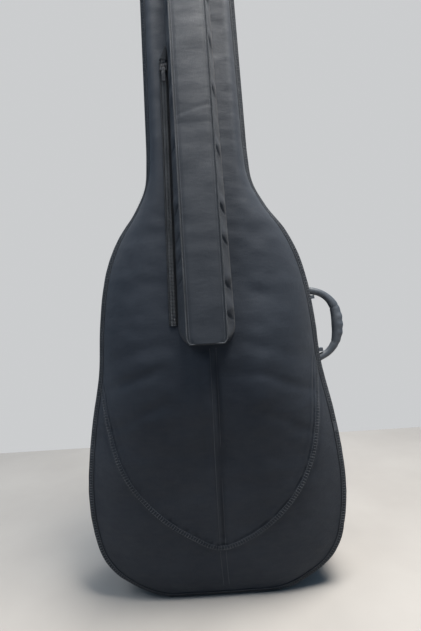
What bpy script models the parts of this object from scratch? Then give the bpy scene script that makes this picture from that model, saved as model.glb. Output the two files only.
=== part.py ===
"""Soft padded cello case with a folding lid, a bow pocket, a side handle and shoulder straps.

Metres, +Z up. The front faces -Y. The case stands on its base at Z = 0, and X = 0 is its plane of symmetry.
All sizes along Y below count from the plane of the front edge. The finished case is then moved
forward by half its depth, so that its origin is the middle of its base.
"""
import math

import bmesh
import bpy
import numpy as np
from mathutils import Matrix, Vector

# Clearances between sewn pieces, between thick panel edges, and around what turns
GAP = 0.0004
SEAM = 0.0014
PLAY = 0.0006

# Outline of the front edge on the right side: height and half width
LENGTH = 1.330
BASE_HALF = 0.100
LOWER_BOUT = (0.205, 0.251)
UPPER_BOUT = (0.535, 0.209)
NECK_ROOT = (0.900, 0.097)
NECK_TOP = (LENGTH - 0.100, 0.090)
LOWER_CORNER = ((0.010, 0.139), (0.028, 0.174), (0.052, 0.207), (0.085, 0.231), (0.135, 0.245))
WAIST = ((0.276, 0.246), (0.347, 0.2355), (0.441, 0.217))
SHOULDER = (
    (0.606, 0.1985), (0.654, 0.1855), (0.702, 0.163), (0.751, 0.128), (0.799, 0.1045), (0.846, 0.099),
)
TOP_CORNER = ((LENGTH - 0.040, 0.078), (LENGTH - 0.012, 0.055), (LENGTH, 0.030))

# Depth from the front edge to the back, and where the back steps in for the neck
BODY_DEPTH = 0.175
NECK_DEPTH = 0.125
STEP_FROM = 0.700
STEP_TO = 0.880
BACK_CROWN = 0.005
CROWN_RUN = 0.100

# How far the front stands out of its edge plane, at each height up to the pocket
BELLY = ((0.0, 0.0), (0.030, 0.017), (0.100, 0.038), (0.200, 0.062), (0.300, 0.086), (0.400, 0.108))
BELLY_PEAK = (0.470, 0.112)
BELLY_END = (LENGTH - 0.060, 0.022)
FLAT_HALF = 0.064
BELLY_POWER = 2.6

# Walls
PANEL_T = 0.008
GUSSET_T = 0.007
STRIP_T = 0.003
BINDING_T = 0.003
BINDING_WIDTH = 0.0115
BINDING_FRONT = -0.0015
PATCH_PROUD = 0.0006
PANEL_INSET = BINDING_T + GAP

# The U-shaped seam of the front: height and half width
U_SEAM = ((0.112, 0.0), (0.157, 0.092), (0.240, 0.166), (0.333, 0.200), (0.440, 0.213))

# The lid folds here, and the main zip ends here
FOLD = 0.315

# Main zip
TAPE_T = 0.0012
TAPE_INSET = PANEL_INSET + STRIP_T + GAP
TAPE_WIDTH = 0.0092
COIL_T = 0.0024
COIL_WIDTH = 0.0040
COIL_GAP = 0.0014
ZIP_Y = 0.0244
GUSSET_FRONT = ZIP_Y + COIL_GAP / 2 + TAPE_WIDTH + GAP
END_TAB_LENGTH = 0.022
END_TAB_HALF = 0.013

# Sliders and pulls
SLIDER_LENGTH = 0.013
SLIDER_PLATE_T = 0.0016
POST_T = 0.0006
LUG_T = 0.0010
SLIDER_WIDTH = COIL_GAP + 2 * (COIL_WIDTH + PLAY + LUG_T)
STRIP_END = ZIP_Y - SLIDER_WIDTH / 2 - PLAY
LUG_HEIGHT = 0.0034
LUG_LENGTH = 0.0040
BARREL_RADIUS = 0.0013
BARREL_LENGTH = 0.0044
PULL_LENGTH = 0.030
PULL_WIDTH = 0.0060
PULL_T = 0.0016
MAIN_SLIDER_HEIGHTS = (LENGTH - 0.220, LENGTH - 0.275)

# Bow pocket, on the flat middle of the front
POCKET_BOTTOM = 0.497
POCKET_TOP = LENGTH - 0.068
POCKET_HALF = 0.033
POCKET_DEPTH = 0.034
POCKET_T = 0.0025
PIPING_RADIUS = 0.0015
POCKET_ZIP_BOTTOM = (0.530, -0.0560)
POCKET_ZIP_TOP = (1.010, -0.0495)
POCKET_SLIDER_HEIGHT = 0.998
POCKET_TAPE_WIDTH = 0.0070

# Carry handle on the right side: its middle line as height and distance out of the side wall
HANDLE_Y = 0.085
HANDLE_RADIUS = 0.0120
HANDLE_ARM = 0.0080
HANDLE_TOP = 0.583
HANDLE_BOTTOM = 0.437
HANDLE_REACH = 0.058
ARCH_SQUARENESS = 3.2
ARCH_SPREAD = 0.8
GRIP_FROM = 0.52
GRIP_BLEND = 0.45
PLATE_T = 0.0045
PLATE_LENGTH = 0.040
PLATE_WIDTH = 0.030
EAR_T = 0.0075
EAR_WIDTH = 0.014
EAR_REACH = 0.024
EAR_CLEARANCE = 0.0042

# Grab handle on the back of the neck
GRAB_TOP = LENGTH - 0.090
GRAB_BOTTOM = GRAB_TOP - 0.150
GRAB_RADIUS = 0.0080
GRAB_ARM = 0.0060
GRAB_REACH = 0.034

# Shoulder straps
STRAP_TOP = (0.072, 0.655)
STRAP_BOTTOM = (0.150, 0.185)
STRAP_WIDTH = 0.060
STRAP_T = 0.012
STRAP_BOW = 0.016
PAD_LENGTH = 0.315
WEBBING_WIDTH = 0.025
WEBBING_T = 0.0022
WEBBING_LENGTH = 0.072
BUCKLE_LENGTH = 0.026
BUCKLE_WIDTH = 0.034
BUCKLE_T = 0.0045
SLOT_WIDTH = 0.0038
HOOK_LENGTH = 0.030
HOOK_WIDTH = 0.022
HOOK_T = 0.0030
HOOK_LIFT = 0.0054
RING_WIRE = 0.0016
RING_HALF = 0.016
RING_DROP = 0.020
TAB_LENGTH = 0.034
TAB_WIDTH = 0.026
TAB_T = 0.0072
YOKE_HEIGHT = 0.045
YOKE_T = 0.004

# What holds the cello inside
CRADLE_HEIGHT = 0.945
CRADLE_SIZE = (0.120, 0.026, 0.085)
CRADLE_GROOVE = 0.034
NECK_STRAP_HEIGHT = LENGTH - 0.255
NECK_STRAP_WIDTH = 0.030
NECK_STRAP_T = 0.0022
NECK_STRAP_Y = 0.058
NECK_STRAP_OVERLAP = 0.022
CUP_RADIUS = 0.028
CUP_BORE = 0.016
CUP_HEIGHT = 0.018
GUARD_HALF = 0.055
GUARD_FROM = 0.385
GUARD_TO = 0.465
GUARD_T = 0.003

# Spacing of the points along an edge, and of the rows up a panel
EDGE_STEP = 0.030
SMOOTH_STEPS = 8

NYLON = (0.034, 0.038, 0.045)
NYLON_DARK = (0.022, 0.025, 0.030)
TAPE = (0.045, 0.050, 0.058)
RUBBER = (0.060, 0.066, 0.078)
BLACK_METAL = (0.030, 0.031, 0.034)
PLASTIC = (0.018, 0.018, 0.020)
FOAM = (0.075, 0.078, 0.085)


def clear_scene():
    for obj in list(bpy.data.objects):
        bpy.data.objects.remove(obj, do_unlink=True)


def new_collection(name):
    collection = bpy.data.collections.new(name)
    bpy.context.scene.collection.children.link(collection)
    return collection


def add_object(name, mesh, look):
    """Puts a mesh in the case's collection, with a material of its own."""
    colour, roughness, metallic = look
    material = bpy.data.materials.new(name)
    material.use_nodes = True
    shader = material.node_tree.nodes["Principled BSDF"]
    shader.inputs["Base Color"].default_value = (*colour, 1.0)
    shader.inputs["Roughness"].default_value = roughness
    shader.inputs["Metallic"].default_value = metallic
    mesh.materials.append(material)
    obj = bpy.data.objects.new(name, mesh)
    parts.objects.link(obj)
    return obj


def curve_through(points, before, after, steps=SMOOTH_STEPS):
    """A smooth run of points through the given ones. Those before and after only set its end directions."""
    line = [Vector(point) for point in (before, *points, after)]
    lengths = [(b - a).length for a, b in zip(line, line[1:])]
    slopes = []
    for i in range(1, len(line) - 1):
        back = (line[i] - line[i - 1]) / lengths[i - 1]
        ahead = (line[i + 1] - line[i]) / lengths[i]
        slopes.append((back * lengths[i] + ahead * lengths[i - 1]) / (lengths[i - 1] + lengths[i]))
    run = []
    for i in range(len(slopes) - 1):
        start, end, span = line[i + 1], line[i + 2], lengths[i + 1]
        for step in range(steps):
            t = step / steps
            run.append(
                start * (2 * t**3 - 3 * t**2 + 1)
                + end * (3 * t**2 - 2 * t**3)
                + slopes[i] * span * (t**3 - 2 * t**2 + t)
                + slopes[i + 1] * span * (t**3 - t**2)
            )
    return run + [line[-2]]


def right_edge():
    """The right side of the front edge as heights, half widths and the outward direction at each."""
    root, top = Vector(NECK_ROOT), Vector(NECK_TOP)
    along = (top - root).normalized() * EDGE_STEP
    lower = curve_through(
        [(0.0, BASE_HALF), *LOWER_CORNER, LOWER_BOUT, *WAIST, UPPER_BOUT, *SHOULDER, NECK_ROOT],
        (0.0, BASE_HALF - EDGE_STEP),
        root + along,
    )
    upper = curve_through([NECK_TOP, *TOP_CORNER], top - along, (LENGTH, 0.0))
    line = np.array([tuple(point) for point in lower + upper])
    slope = np.gradient(line, axis=0)
    slope /= np.linalg.norm(slope, axis=1)[:, None]
    return line[:, 0], line[:, 1], -slope[:, 1], slope[:, 0]


EDGE_Z, EDGE_X, NORMAL_Z, NORMAL_X = right_edge()
PANEL_Z = EDGE_Z - NORMAL_Z * PANEL_INSET
PANEL_X = EDGE_X - NORMAL_X * PANEL_INSET


def smooth_step(value):
    value = min(1.0, max(0.0, value))
    return value * value * (3 - 2 * value)


def panel_half(z):
    return float(np.interp(z, PANEL_Z, PANEL_X))


def edge_half(z):
    return float(np.interp(z, EDGE_Z, EDGE_X))


BELLY_LINE = np.array([
    tuple(point)
    for point in curve_through([*BELLY, BELLY_PEAK], (-0.01, -0.01), BELLY_END)
    + curve_through([BELLY_END, (LENGTH, 0.0)], BELLY_PEAK, (LENGTH + 0.01, -0.02))
])


def belly(z):
    return float(np.interp(z, BELLY_LINE[:, 0], BELLY_LINE[:, 1]))


def front_y(x, z):
    """The outer surface of the front: flat across its middle, rounded down to the edge."""
    half = panel_half(z)
    out = max(0.0, abs(x) - FLAT_HALF) / max(half - FLAT_HALF, 0.001)
    return -belly(z) * (1 - min(1.0, out) ** BELLY_POWER)


def depth(z):
    return BODY_DEPTH + (NECK_DEPTH - BODY_DEPTH) * smooth_step((z - STEP_FROM) / (STEP_TO - STEP_FROM))


def back_y(x, z):
    """The outer surface of the back, slightly crowned."""
    fade = smooth_step(z / CROWN_RUN) * smooth_step((LENGTH - z) / CROWN_RUN)
    across = min(1.0, abs(x) / panel_half(z))
    return depth(z) + BACK_CROWN * fade * (1 - across**2)


def heights(low, high, spacing=EDGE_STEP):
    """Heights from low to high, an even distance apart along the edge."""
    steps = np.hypot(np.diff(EDGE_X), np.diff(EDGE_Z))
    length = np.concatenate([[0.0], np.cumsum(steps)])
    start, end = np.interp([low, high], EDGE_Z, length)
    count = max(1, round((end - start) / spacing))
    return np.interp(np.linspace(start, end, count + 1), length, EDGE_Z)


def right_run(low, high, spacing=EDGE_STEP):
    """Points up the right edge, each with its outward direction, as x, z, x and z."""
    run = []
    for z in heights(low, high, spacing):
        normal = Vector((np.interp(z, EDGE_Z, NORMAL_X), np.interp(z, EDGE_Z, NORMAL_Z))).normalized()
        run.append((edge_half(z), float(z), normal.x, normal.y))
    return run


def left_run(low, high, spacing=EDGE_STEP):
    return [(-x, z, -nx, nz) for x, z, nx, nz in reversed(right_run(low, high, spacing))]


BASE_MIDDLE = [(0.0, 0.0, 0.0, -1.0)]
TOP_MIDDLE = [(0.0, LENGTH, 0.0, 1.0)]


def grid(name, columns, rows, place, look, thickness, closed=False):
    """A padded sheet: a grid laid over a surface, thickened away from its outer side."""
    mesh = bpy.data.meshes.new(name)
    form = bmesh.new()
    bmesh.ops.create_grid(form, x_segments=columns, y_segments=rows, size=1)
    for vert in form.verts:
        vert.co = Vector(place((vert.co.x + 1) / 2, (vert.co.y + 1) / 2))
    if closed:
        bmesh.ops.remove_doubles(form, verts=form.verts, dist=0.00005)
    form.to_mesh(mesh)
    form.free()
    mesh.shade_smooth()
    obj = add_object(name, mesh, look)
    shell = obj.modifiers.new("Thickness", "SOLIDIFY")
    shell.thickness = thickness
    shell.offset = -1
    shell.use_even_offset = True
    shell.use_quality_normals = True
    return obj


def band(name, run, front, back, inset, thickness, look, closed=False):
    """A strip that follows the edge, between two depths, its outer side the given distance inside it."""
    last = len(run) - 1

    def place(u, w):
        x, z, nx, nz = run[round(u * last)]
        far = back(z) if callable(back) else back
        near = front(z) if callable(front) else front
        return x - nx * inset, far + (near - far) * w, z - nz * inset

    return grid(name, last, 1, place, look, thickness, closed)


def panel(name, inner, outer, across, surface, look, thickness=PANEL_T):
    """A padded panel between two edges, each a list of x, z points of one length, laid on a surface."""
    last = len(inner) - 1

    def place(u, w):
        a, b = inner[round(w * last)], outer[round(w * last)]
        x, z = a[0] + (b[0] - a[0]) * u, a[1] + (b[1] - a[1]) * u
        return x, surface(x, z), z

    return grid(name, across, last, place, look, thickness)


def box_mesh(name, size, centre=(0, 0, 0)):
    mesh = bpy.data.meshes.new(name)
    form = bmesh.new()
    bmesh.ops.create_cube(form, size=1, matrix=Matrix.Translation(centre) @ Matrix.Diagonal((*size, 1)))
    form.to_mesh(mesh)
    form.free()
    return mesh


def cylinder_mesh(name, radius, length, axis, centre=(0, 0, 0), segments=20):
    mesh = bpy.data.meshes.new(name)
    form = bmesh.new()
    turn = Vector((0, 0, 1)).rotation_difference(Vector(axis)).to_matrix().to_4x4()
    bmesh.ops.create_cone(
        form, cap_ends=True, segments=segments, radius1=radius, radius2=radius, depth=length,
        matrix=Matrix.Translation(centre) @ turn,
    )
    form.to_mesh(mesh)
    form.free()
    return mesh


def helper(name, mesh, matrix=None):
    """A cutter, or a piece that is joined to another: drawn as wire and left out of the case."""
    obj = bpy.data.objects.new(name, mesh)
    helpers.objects.link(obj)
    obj.hide_render = True
    obj.display_type = "WIRE"
    if matrix is not None:
        obj.matrix_world = matrix
    return obj


def combine(obj, mesh, operation, matrix=None):
    """Joins a shape to an object, or cuts it from the object. The matrix places the shape in the world."""
    other = helper(f"{obj.name}_{operation.lower()}_{len(obj.modifiers)}", mesh, matrix)
    step = obj.modifiers.new(operation.title(), "BOOLEAN")
    step.operation = operation
    step.object = other
    step.solver = "EXACT"


def tube_mesh(name, points, radii, depth_of_tube, cyclic=False, resolution=2):
    """The mesh of a round tube along points."""
    curve = bpy.data.curves.new(name, "CURVE")
    curve.dimensions = "3D"
    curve.bevel_depth = depth_of_tube
    curve.bevel_resolution = resolution
    curve.use_fill_caps = True
    spline = curve.splines.new("POLY")
    spline.points.add(len(points) - 1)
    for knot, point, radius in zip(spline.points, points, radii):
        knot.co = (*point, 1)
        knot.radius = radius
    spline.use_cyclic_u = cyclic
    obj = bpy.data.objects.new(name, curve)
    bpy.context.scene.collection.objects.link(obj)
    bpy.context.view_layer.update()
    mesh = bpy.data.meshes.new_from_object(obj.evaluated_get(bpy.context.evaluated_depsgraph_get()))
    bpy.data.objects.remove(obj, do_unlink=True)
    form = bmesh.new()
    form.from_mesh(mesh)
    bmesh.ops.remove_doubles(form, verts=form.verts, dist=0.00001)
    form.to_mesh(mesh)
    form.free()
    mesh.materials.clear()
    mesh.shade_smooth()
    return mesh


def frame_at(origin, out, along):
    """A matrix whose Z points out of a surface and whose Y runs along it."""
    out = Vector(out).normalized()
    along = Vector(along).normalized()
    across = along.cross(out).normalized()
    along = out.cross(across)
    matrix = Matrix((across, along, out)).transposed().to_4x4()
    matrix.translation = Vector(origin)
    return matrix


def hang_on(name, place, pieces):
    """An empty on a joint's axis, which carries the pieces that turn or slide there."""
    empty = bpy.data.objects.new(name, None)
    empty.empty_display_size = 0.03
    empty.location = place
    parts.objects.link(empty)
    bpy.context.view_layer.update()
    for piece in pieces:
        own = piece.matrix_world.copy()
        piece.parent = empty
        piece.matrix_parent_inverse = empty.matrix_world.inverted()
        piece.matrix_world = own
    return empty


def panel_edge(z):
    """Where a panel's edge lies, just inside the edge tape, for a height on the outline."""
    return float(np.interp(z, EDGE_Z, PANEL_X)), float(np.interp(z, EDGE_Z, PANEL_Z))


def u_seam():
    """The U-shaped seam as heights and half widths, from the middle up to the right edge."""
    first = (U_SEAM[1][0], -U_SEAM[1][1])
    last = U_SEAM[-1]
    line = curve_through(list(U_SEAM), first, (last[0] + EDGE_STEP, last[1]))
    return np.array([tuple(point) for point in line])


def make_shell():
    """The part of the case that stands: back, side walls, and the front below the fold."""
    cloth = (NYLON, 0.85, 0.0)
    low = FOLD - SEAM / 2
    keep = heights(0.0, LENGTH)
    right = [panel_edge(z) for z in keep]
    panel("back_panel", right, [(-x, z) for x, z in right], 8, back_y, cloth)

    def gusset_back(z):
        return depth(z) - PANEL_T - SEAM

    upper = right_run(FOLD + SEAM / 2, LENGTH)
    top_half = (SEAM / 2, LENGTH, 0.0, 1.0)
    band("gusset_right", [*upper, top_half], GUSSET_FRONT, gusset_back, PANEL_INSET, GUSSET_T, cloth)
    left = [(-x, z, -nx, nz) for x, z, nx, nz in reversed([*upper, top_half])]
    band("gusset_left", left, GUSSET_FRONT, gusset_back, PANEL_INSET, GUSSET_T, cloth)
    bottom = left_run(0.0, low) + BASE_MIDDLE + right_run(0.0, low)
    band("gusset_lower", bottom, PANEL_T + GAP, gusset_back, PANEL_INSET, GUSSET_T, cloth)

    make_lower_front(low, cloth)
    binding = (NYLON_DARK, 0.8, 0.0)
    band(
        "binding_front_lower", bottom, BINDING_FRONT, BINDING_FRONT + BINDING_WIDTH, 0.0, BINDING_T, binding
    )
    loop = BASE_MIDDLE + right_run(0.0, LENGTH) + TOP_MIDDLE + left_run(0.0, LENGTH) + BASE_MIDDLE

    def back_end(z):
        return depth(z) - BINDING_FRONT

    def back_start(z):
        return back_end(z) - BINDING_WIDTH

    band("binding_back", loop, back_start, back_end, 0.0, BINDING_T, binding, closed=True)
    patch_depth = BODY_DEPTH - 4 * BINDING_WIDTH
    patch_width = 2 * BASE_HALF - BINDING_WIDTH
    patch_size = (patch_width, patch_depth, BINDING_T + PATCH_PROUD)
    patch = box_mesh("base_patch", patch_size, (0, BODY_DEPTH / 2, (BINDING_T - PATCH_PROUD) / 2))
    add_object("base_patch", patch, (PLASTIC, 0.7, 0.0))


def make_lower_front(low, cloth):
    """The two front panels below the fold, and the crescent below the U-shaped seam."""
    seam = u_seam()
    start = U_SEAM[0][0] + SEAM * 4
    rows = start + (low - start) * np.linspace(0, 1, 14) ** 1.6
    outer = [(float(np.interp(z, seam[:, 0], seam[:, 1])) - SEAM / 2, float(z)) for z in rows]
    middle = [(SEAM / 2, float(z)) for z in rows]
    panel("front_right_lower", middle, outer, 5, front_y, cloth)
    flip = [(-x, z) for x, z in outer]
    panel("front_left_lower", flip, [(-x, z) for x, z in middle], 5, front_y, cloth)

    edge = [panel_edge(z) for z in heights(0.0, low)]
    outline = [(-x, z) for x, z in reversed(edge)] + [(0.0, PANEL_INSET)] + edge
    inside = seam[seam[:, 0] < low]
    length = np.concatenate([[0.0], np.cumsum(np.hypot(*np.diff(inside, axis=0).T))])
    half_count = len(edge)
    curve = []
    for i in range(1, half_count + 1):
        share = i / half_count * length[-1]
        curve.append((np.interp(share, length, inside[:, 1]), np.interp(share, length, inside[:, 0])))
    curve = [(float(x) + SEAM, float(z) - SEAM / 2) for x, z in curve]
    curve[-1] = (float(np.interp(low, seam[:, 0], seam[:, 1])) + SEAM, low)
    upper = [(-x, z) for x, z in reversed(curve)] + [(0.0, U_SEAM[0][0] - SEAM / 2)] + curve
    panel("lower_patch", outline, upper, 4, front_y, cloth).data.flip_normals()


def make_lid():
    """The front above the fold, with its edge tape, its strip and its half of the main zip."""
    cloth = (NYLON, 0.85, 0.0)
    high = FOLD + SEAM / 2
    keep = heights(high, LENGTH)
    right = [panel_edge(z) for z in keep]
    right[0] = (right[0][0], high)
    middle = [(SEAM / 2, z) for x, z in right]
    pieces = [
        panel("front_right", middle, right, 7, front_y, cloth),
        panel("front_left", [(-x, z) for x, z in right], [(-x, z) for x, z in middle], 7, front_y, cloth),
    ]
    over = right_run(high, LENGTH) + TOP_MIDDLE + left_run(high, LENGTH)
    binding_end = BINDING_FRONT + BINDING_WIDTH
    pieces += [
        band("front_strip", over, PANEL_T + GAP, STRIP_END, PANEL_INSET, STRIP_T, cloth),
        band("binding_front_upper", over, BINDING_FRONT, binding_end, 0.0, BINDING_T, (NYLON_DARK, 0.8, 0.0)),
    ]
    near = ZIP_Y - COIL_GAP / 2
    far = ZIP_Y + COIL_GAP / 2
    tape = (TAPE, 0.9, 0.0)
    coil_inset = TAPE_INSET - GAP - COIL_T
    pieces += [
        band("zip_tape_front", over, near - TAPE_WIDTH, near, TAPE_INSET, TAPE_T, tape),
        band("zip_coil_front", over, near - COIL_WIDTH, near, coil_inset, COIL_T, (PLASTIC, 0.5, 0.0)),
    ]
    band("zip_tape_rear", over, far, far + TAPE_WIDTH, TAPE_INSET, TAPE_T, tape)
    band("zip_coil_rear", over, far, far + COIL_WIDTH, coil_inset, COIL_T, (PLASTIC, 0.5, 0.0))
    for run_of, name in ((right_run, "zip_end_right"), (left_run, "zip_end_left")):
        run = run_of(FOLD - END_TAB_LENGTH, FOLD - SEAM)
        band(name, run, ZIP_Y - END_TAB_HALF, ZIP_Y + END_TAB_HALF, GAP, PANEL_INSET - 2 * GAP, tape)
    guard_lift = PANEL_T + 3 * GAP

    def under_front(x, z):
        return front_y(x, z) + guard_lift

    rows = np.linspace(GUARD_FROM, GUARD_TO, 4)
    pieces.append(
        panel(
            "bridge_guard",
            [(-GUARD_HALF, float(z)) for z in rows],
            [(GUARD_HALF, float(z)) for z in rows],
            2, under_front, (FOAM, 0.9, 0.0), GUARD_T,
        )
    )
    return pieces


def pocket_zip_x(z):
    """The middle line of the pocket zip, which leans a little."""
    (z0, x0), (z1, x1) = POCKET_ZIP_BOTTOM, POCKET_ZIP_TOP
    return x0 + (x1 - x0) * (z - z0) / (z1 - z0)


def pocket_strip(name, from_zip, to_zip, lift, thickness, look):
    """A straight strip on the front beside the pocket zip. Its outer side is lift + thickness off it."""
    low, high = POCKET_ZIP_BOTTOM[0], POCKET_ZIP_TOP[0]

    def place(u, w):
        z = low + (high - low) * w
        x = pocket_zip_x(z) + from_zip + (to_zip - from_zip) * u
        return x, front_y(0, z) - lift - thickness, z

    return grid(name, 1, 1, place, look, thickness)


def make_pocket():
    """The bow pocket: walls fixed to the lid, and a face and left wall that open about the right seam."""
    cloth = (NYLON, 0.85, 0.0)
    tape = (TAPE, 0.9, 0.0)
    wall_top = POCKET_T + 2 * GAP

    def face_y(z):
        return front_y(0, z) - POCKET_DEPTH

    def base_x(z):
        return -pocket_zip_x(z) - COIL_WIDTH - COIL_GAP / 2 - POCKET_T - GAP

    def face(u, w):
        z = POCKET_BOTTOM + (POCKET_TOP - POCKET_BOTTOM) * w
        return POCKET_HALF * (2 * u - 1), face_y(z), z

    def side_wall(side):
        def place(u, w):
            z = POCKET_BOTTOM + (POCKET_TOP - POCKET_BOTTOM) * w
            s = u if side > 0 else 1 - u
            top = (POCKET_HALF, face_y(z) + wall_top)
            foot = (base_x(z), front_y(0, z) - 3 * GAP - TAPE_T)
            return side * (top[0] + (foot[0] - top[0]) * s), top[1] + (foot[1] - top[1]) * s, z

        return place

    def end_wall(z, up):
        """The short wall across the pocket's end, from the front out to the face."""
        inner = z - up * GAP
        low_z, high_z = sorted((inner, inner - up * POCKET_T))
        clear = POCKET_T * 1.6

        def width(far):
            return base_x(z) - clear if far else POCKET_HALF - clear

        form = bmesh.new()
        corners = []
        for level in (low_z, high_z):
            for far, side in ((True, -1), (True, 1), (False, 1), (False, -1)):
                y = front_y(0, level) - GAP if far else face_y(level) + wall_top
                corners.append(form.verts.new((side * width(far), y, level)))
        bmesh.ops.convex_hull(form, input=corners)
        mesh = bpy.data.meshes.new("end_wall")
        form.to_mesh(mesh)
        form.free()
        return mesh

    fixed = [
        grid("pocket_gusset_right", 3, 6, side_wall(1), cloth, POCKET_T),
        add_object("pocket_gusset_bottom", end_wall(POCKET_BOTTOM, -1), cloth),
        add_object("pocket_gusset_top", end_wall(POCKET_TOP, 1), cloth),
    ]
    inner = COIL_GAP / 2
    coil = (PLASTIC, 0.5, 0.0)
    on_tape = 2 * GAP + TAPE_T
    fixed += [
        pocket_strip("pocket_zip_tape_lid", -inner - POCKET_TAPE_WIDTH, -inner, GAP, TAPE_T, tape),
        pocket_strip("pocket_coil_lid", -inner - COIL_WIDTH, -inner, on_tape, COIL_T, coil),
    ]
    opening = [
        grid("pocket_face", 2, 6, face, cloth, POCKET_T),
        grid("pocket_gusset_left", 3, 6, side_wall(-1), cloth, POCKET_T),
        pocket_strip("pocket_zip_tape_flap", inner, inner + POCKET_TAPE_WIDTH, GAP, TAPE_T, tape),
        pocket_strip("pocket_coil_flap", inner, inner + COIL_WIDTH, on_tape, COIL_T, coil),
    ]
    opening.append(make_piping(face_y))
    hinge_z = POCKET_BOTTOM
    hang_on("pocket_hinge", (POCKET_HALF + GAP, face_y(hinge_z) + POCKET_T + GAP, hinge_z), opening)
    return fixed


def make_piping(face_y):
    """Piping down both long edges of the pocket's face and round its bottom."""
    out = POCKET_HALF + PIPING_RADIUS + GAP
    low = POCKET_BOTTOM - PIPING_RADIUS - GAP
    turn = PIPING_RADIUS

    def at(x, z):
        return x, face_y(max(z, POCKET_BOTTOM)) + POCKET_T / 2 + GAP, z

    right = [at(out, POCKET_TOP), at(out, low + turn), at(out - turn, low)]
    left = [(-x, y, z) for x, y, z in reversed(right)]
    points = right + left
    mesh = tube_mesh("pocket_piping", points, [1.0] * len(points), PIPING_RADIUS, resolution=1)
    return add_object("pocket_piping", mesh, (NYLON_DARK, 0.7, 0.0))


def slider(name, matrix, wall_sides, post_depth):
    """A slider: a plate over the coils, a side wall or two, a post between the coils, and its pull's lugs."""
    plate_z = GAP + SLIDER_PLATE_T / 2
    mesh = box_mesh(name, (SLIDER_WIDTH, SLIDER_LENGTH, SLIDER_PLATE_T), (0, 0, plate_z))
    obj = add_object(name, mesh, (BLACK_METAL, 0.35, 0.9))
    obj.matrix_world = matrix
    top = GAP + SLIDER_PLATE_T
    overlap = SLIDER_PLATE_T / 2
    height = COIL_T - GAP + overlap
    middle = GAP + overlap - height / 2
    post_height = post_depth + overlap
    post_at = (0, SLIDER_LENGTH / 4, GAP + overlap - post_height / 2)
    shapes = [box_mesh("post", (POST_T, SLIDER_LENGTH / 3, post_height), post_at)]
    lug_size = (LUG_T, LUG_LENGTH, LUG_HEIGHT + overlap)
    lug_z = top + (LUG_HEIGHT - overlap) / 2
    for side in (-1, 1):
        lug = side * (BARREL_LENGTH / 2 + PLAY + LUG_T / 2)
        shapes.append(box_mesh("lug", lug_size, (lug, 0, lug_z)))
    for side in wall_sides:
        wall = side * (SLIDER_WIDTH - LUG_T) / 2
        shapes.append(box_mesh("wall", (LUG_T, SLIDER_LENGTH, height), (wall, 0, middle)))
    for shape in shapes:
        combine(obj, shape, "UNION", matrix)
    return obj


def pull(name, matrix, down):
    """A flat pull that hangs from a barrel between the slider's lugs."""
    axis_z = GAP + SLIDER_PLATE_T + PLAY + BARREL_RADIUS
    placed = matrix @ Matrix.Translation((0, 0, axis_z))
    barrel = cylinder_mesh(name, BARREL_RADIUS, BARREL_LENGTH, (1, 0, 0), segments=12)
    obj = add_object(name, barrel, (BLACK_METAL, 0.4, 0.8))
    obj.matrix_world = placed
    neck = box_mesh("neck", (BARREL_LENGTH - PLAY, LUG_LENGTH, PULL_T), (0, down * LUG_LENGTH / 2, 0))
    tab_start = LUG_LENGTH * 0.75
    tab_size = (PULL_WIDTH, PULL_LENGTH - tab_start, PULL_T)
    tab = box_mesh("tab", tab_size, (0, down * (PULL_LENGTH + tab_start) / 2, 0))
    combine(obj, neck, "UNION", placed)
    combine(obj, tab, "UNION", placed)
    return obj, placed.translation


def make_sliders():
    """Two sliders on the straight part of the main zip, and one on the pocket zip.

    A main slider stays with the case. It is open toward the lid, so that the lid's coil can leave it.
    The pocket's slider lifts off with the pocket, so its post only dips between the coils.
    """
    (z0, x0), (z1, x1) = NECK_ROOT, NECK_TOP
    along = Vector((x1 - x0, 0, z1 - z0)).normalized()
    out = Vector((along.z, 0, -along.x))
    inset = TAPE_INSET - GAP - COIL_T
    for height, name in zip(MAIN_SLIDER_HEIGHTS, ("upper", "lower")):
        point = Vector((x0 + (x1 - x0) * (height - z0) / (z1 - z0), ZIP_Y, height)) - out * inset
        place = frame_at(point, out, along)
        body = slider(f"main_slider_{name}", place, (1,), COIL_T)
        tab, axis = pull(f"main_pull_{name}", place, -1)
        hang_on(f"main_pull_{name}_hinge", axis, [tab])
        hang_on(f"main_slider_{name}_track", point, [body])

    low = Vector((POCKET_ZIP_BOTTOM[1], front_y(0, POCKET_ZIP_BOTTOM[0]), POCKET_ZIP_BOTTOM[0]))
    high = Vector((POCKET_ZIP_TOP[1], front_y(0, POCKET_ZIP_TOP[0]), POCKET_ZIP_TOP[0]))
    along = (high - low).normalized()
    out = Vector((0, -along.z, along.y)).normalized()
    share = (POCKET_SLIDER_HEIGHT - low.z) / (high.z - low.z)
    lift = 2 * GAP + TAPE_T + COIL_T
    point = low + (high - low) * share + Vector((0, -lift, 0))
    place = frame_at(point, out, along)
    body = slider("pocket_slider", place, (-1, 1), 2 * GAP)
    tab, axis = pull("pocket_pull", place, -1)
    hang_on("pocket_pull_hinge", axis, [tab])
    hang_on("pocket_slider_track", point, [body])


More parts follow.
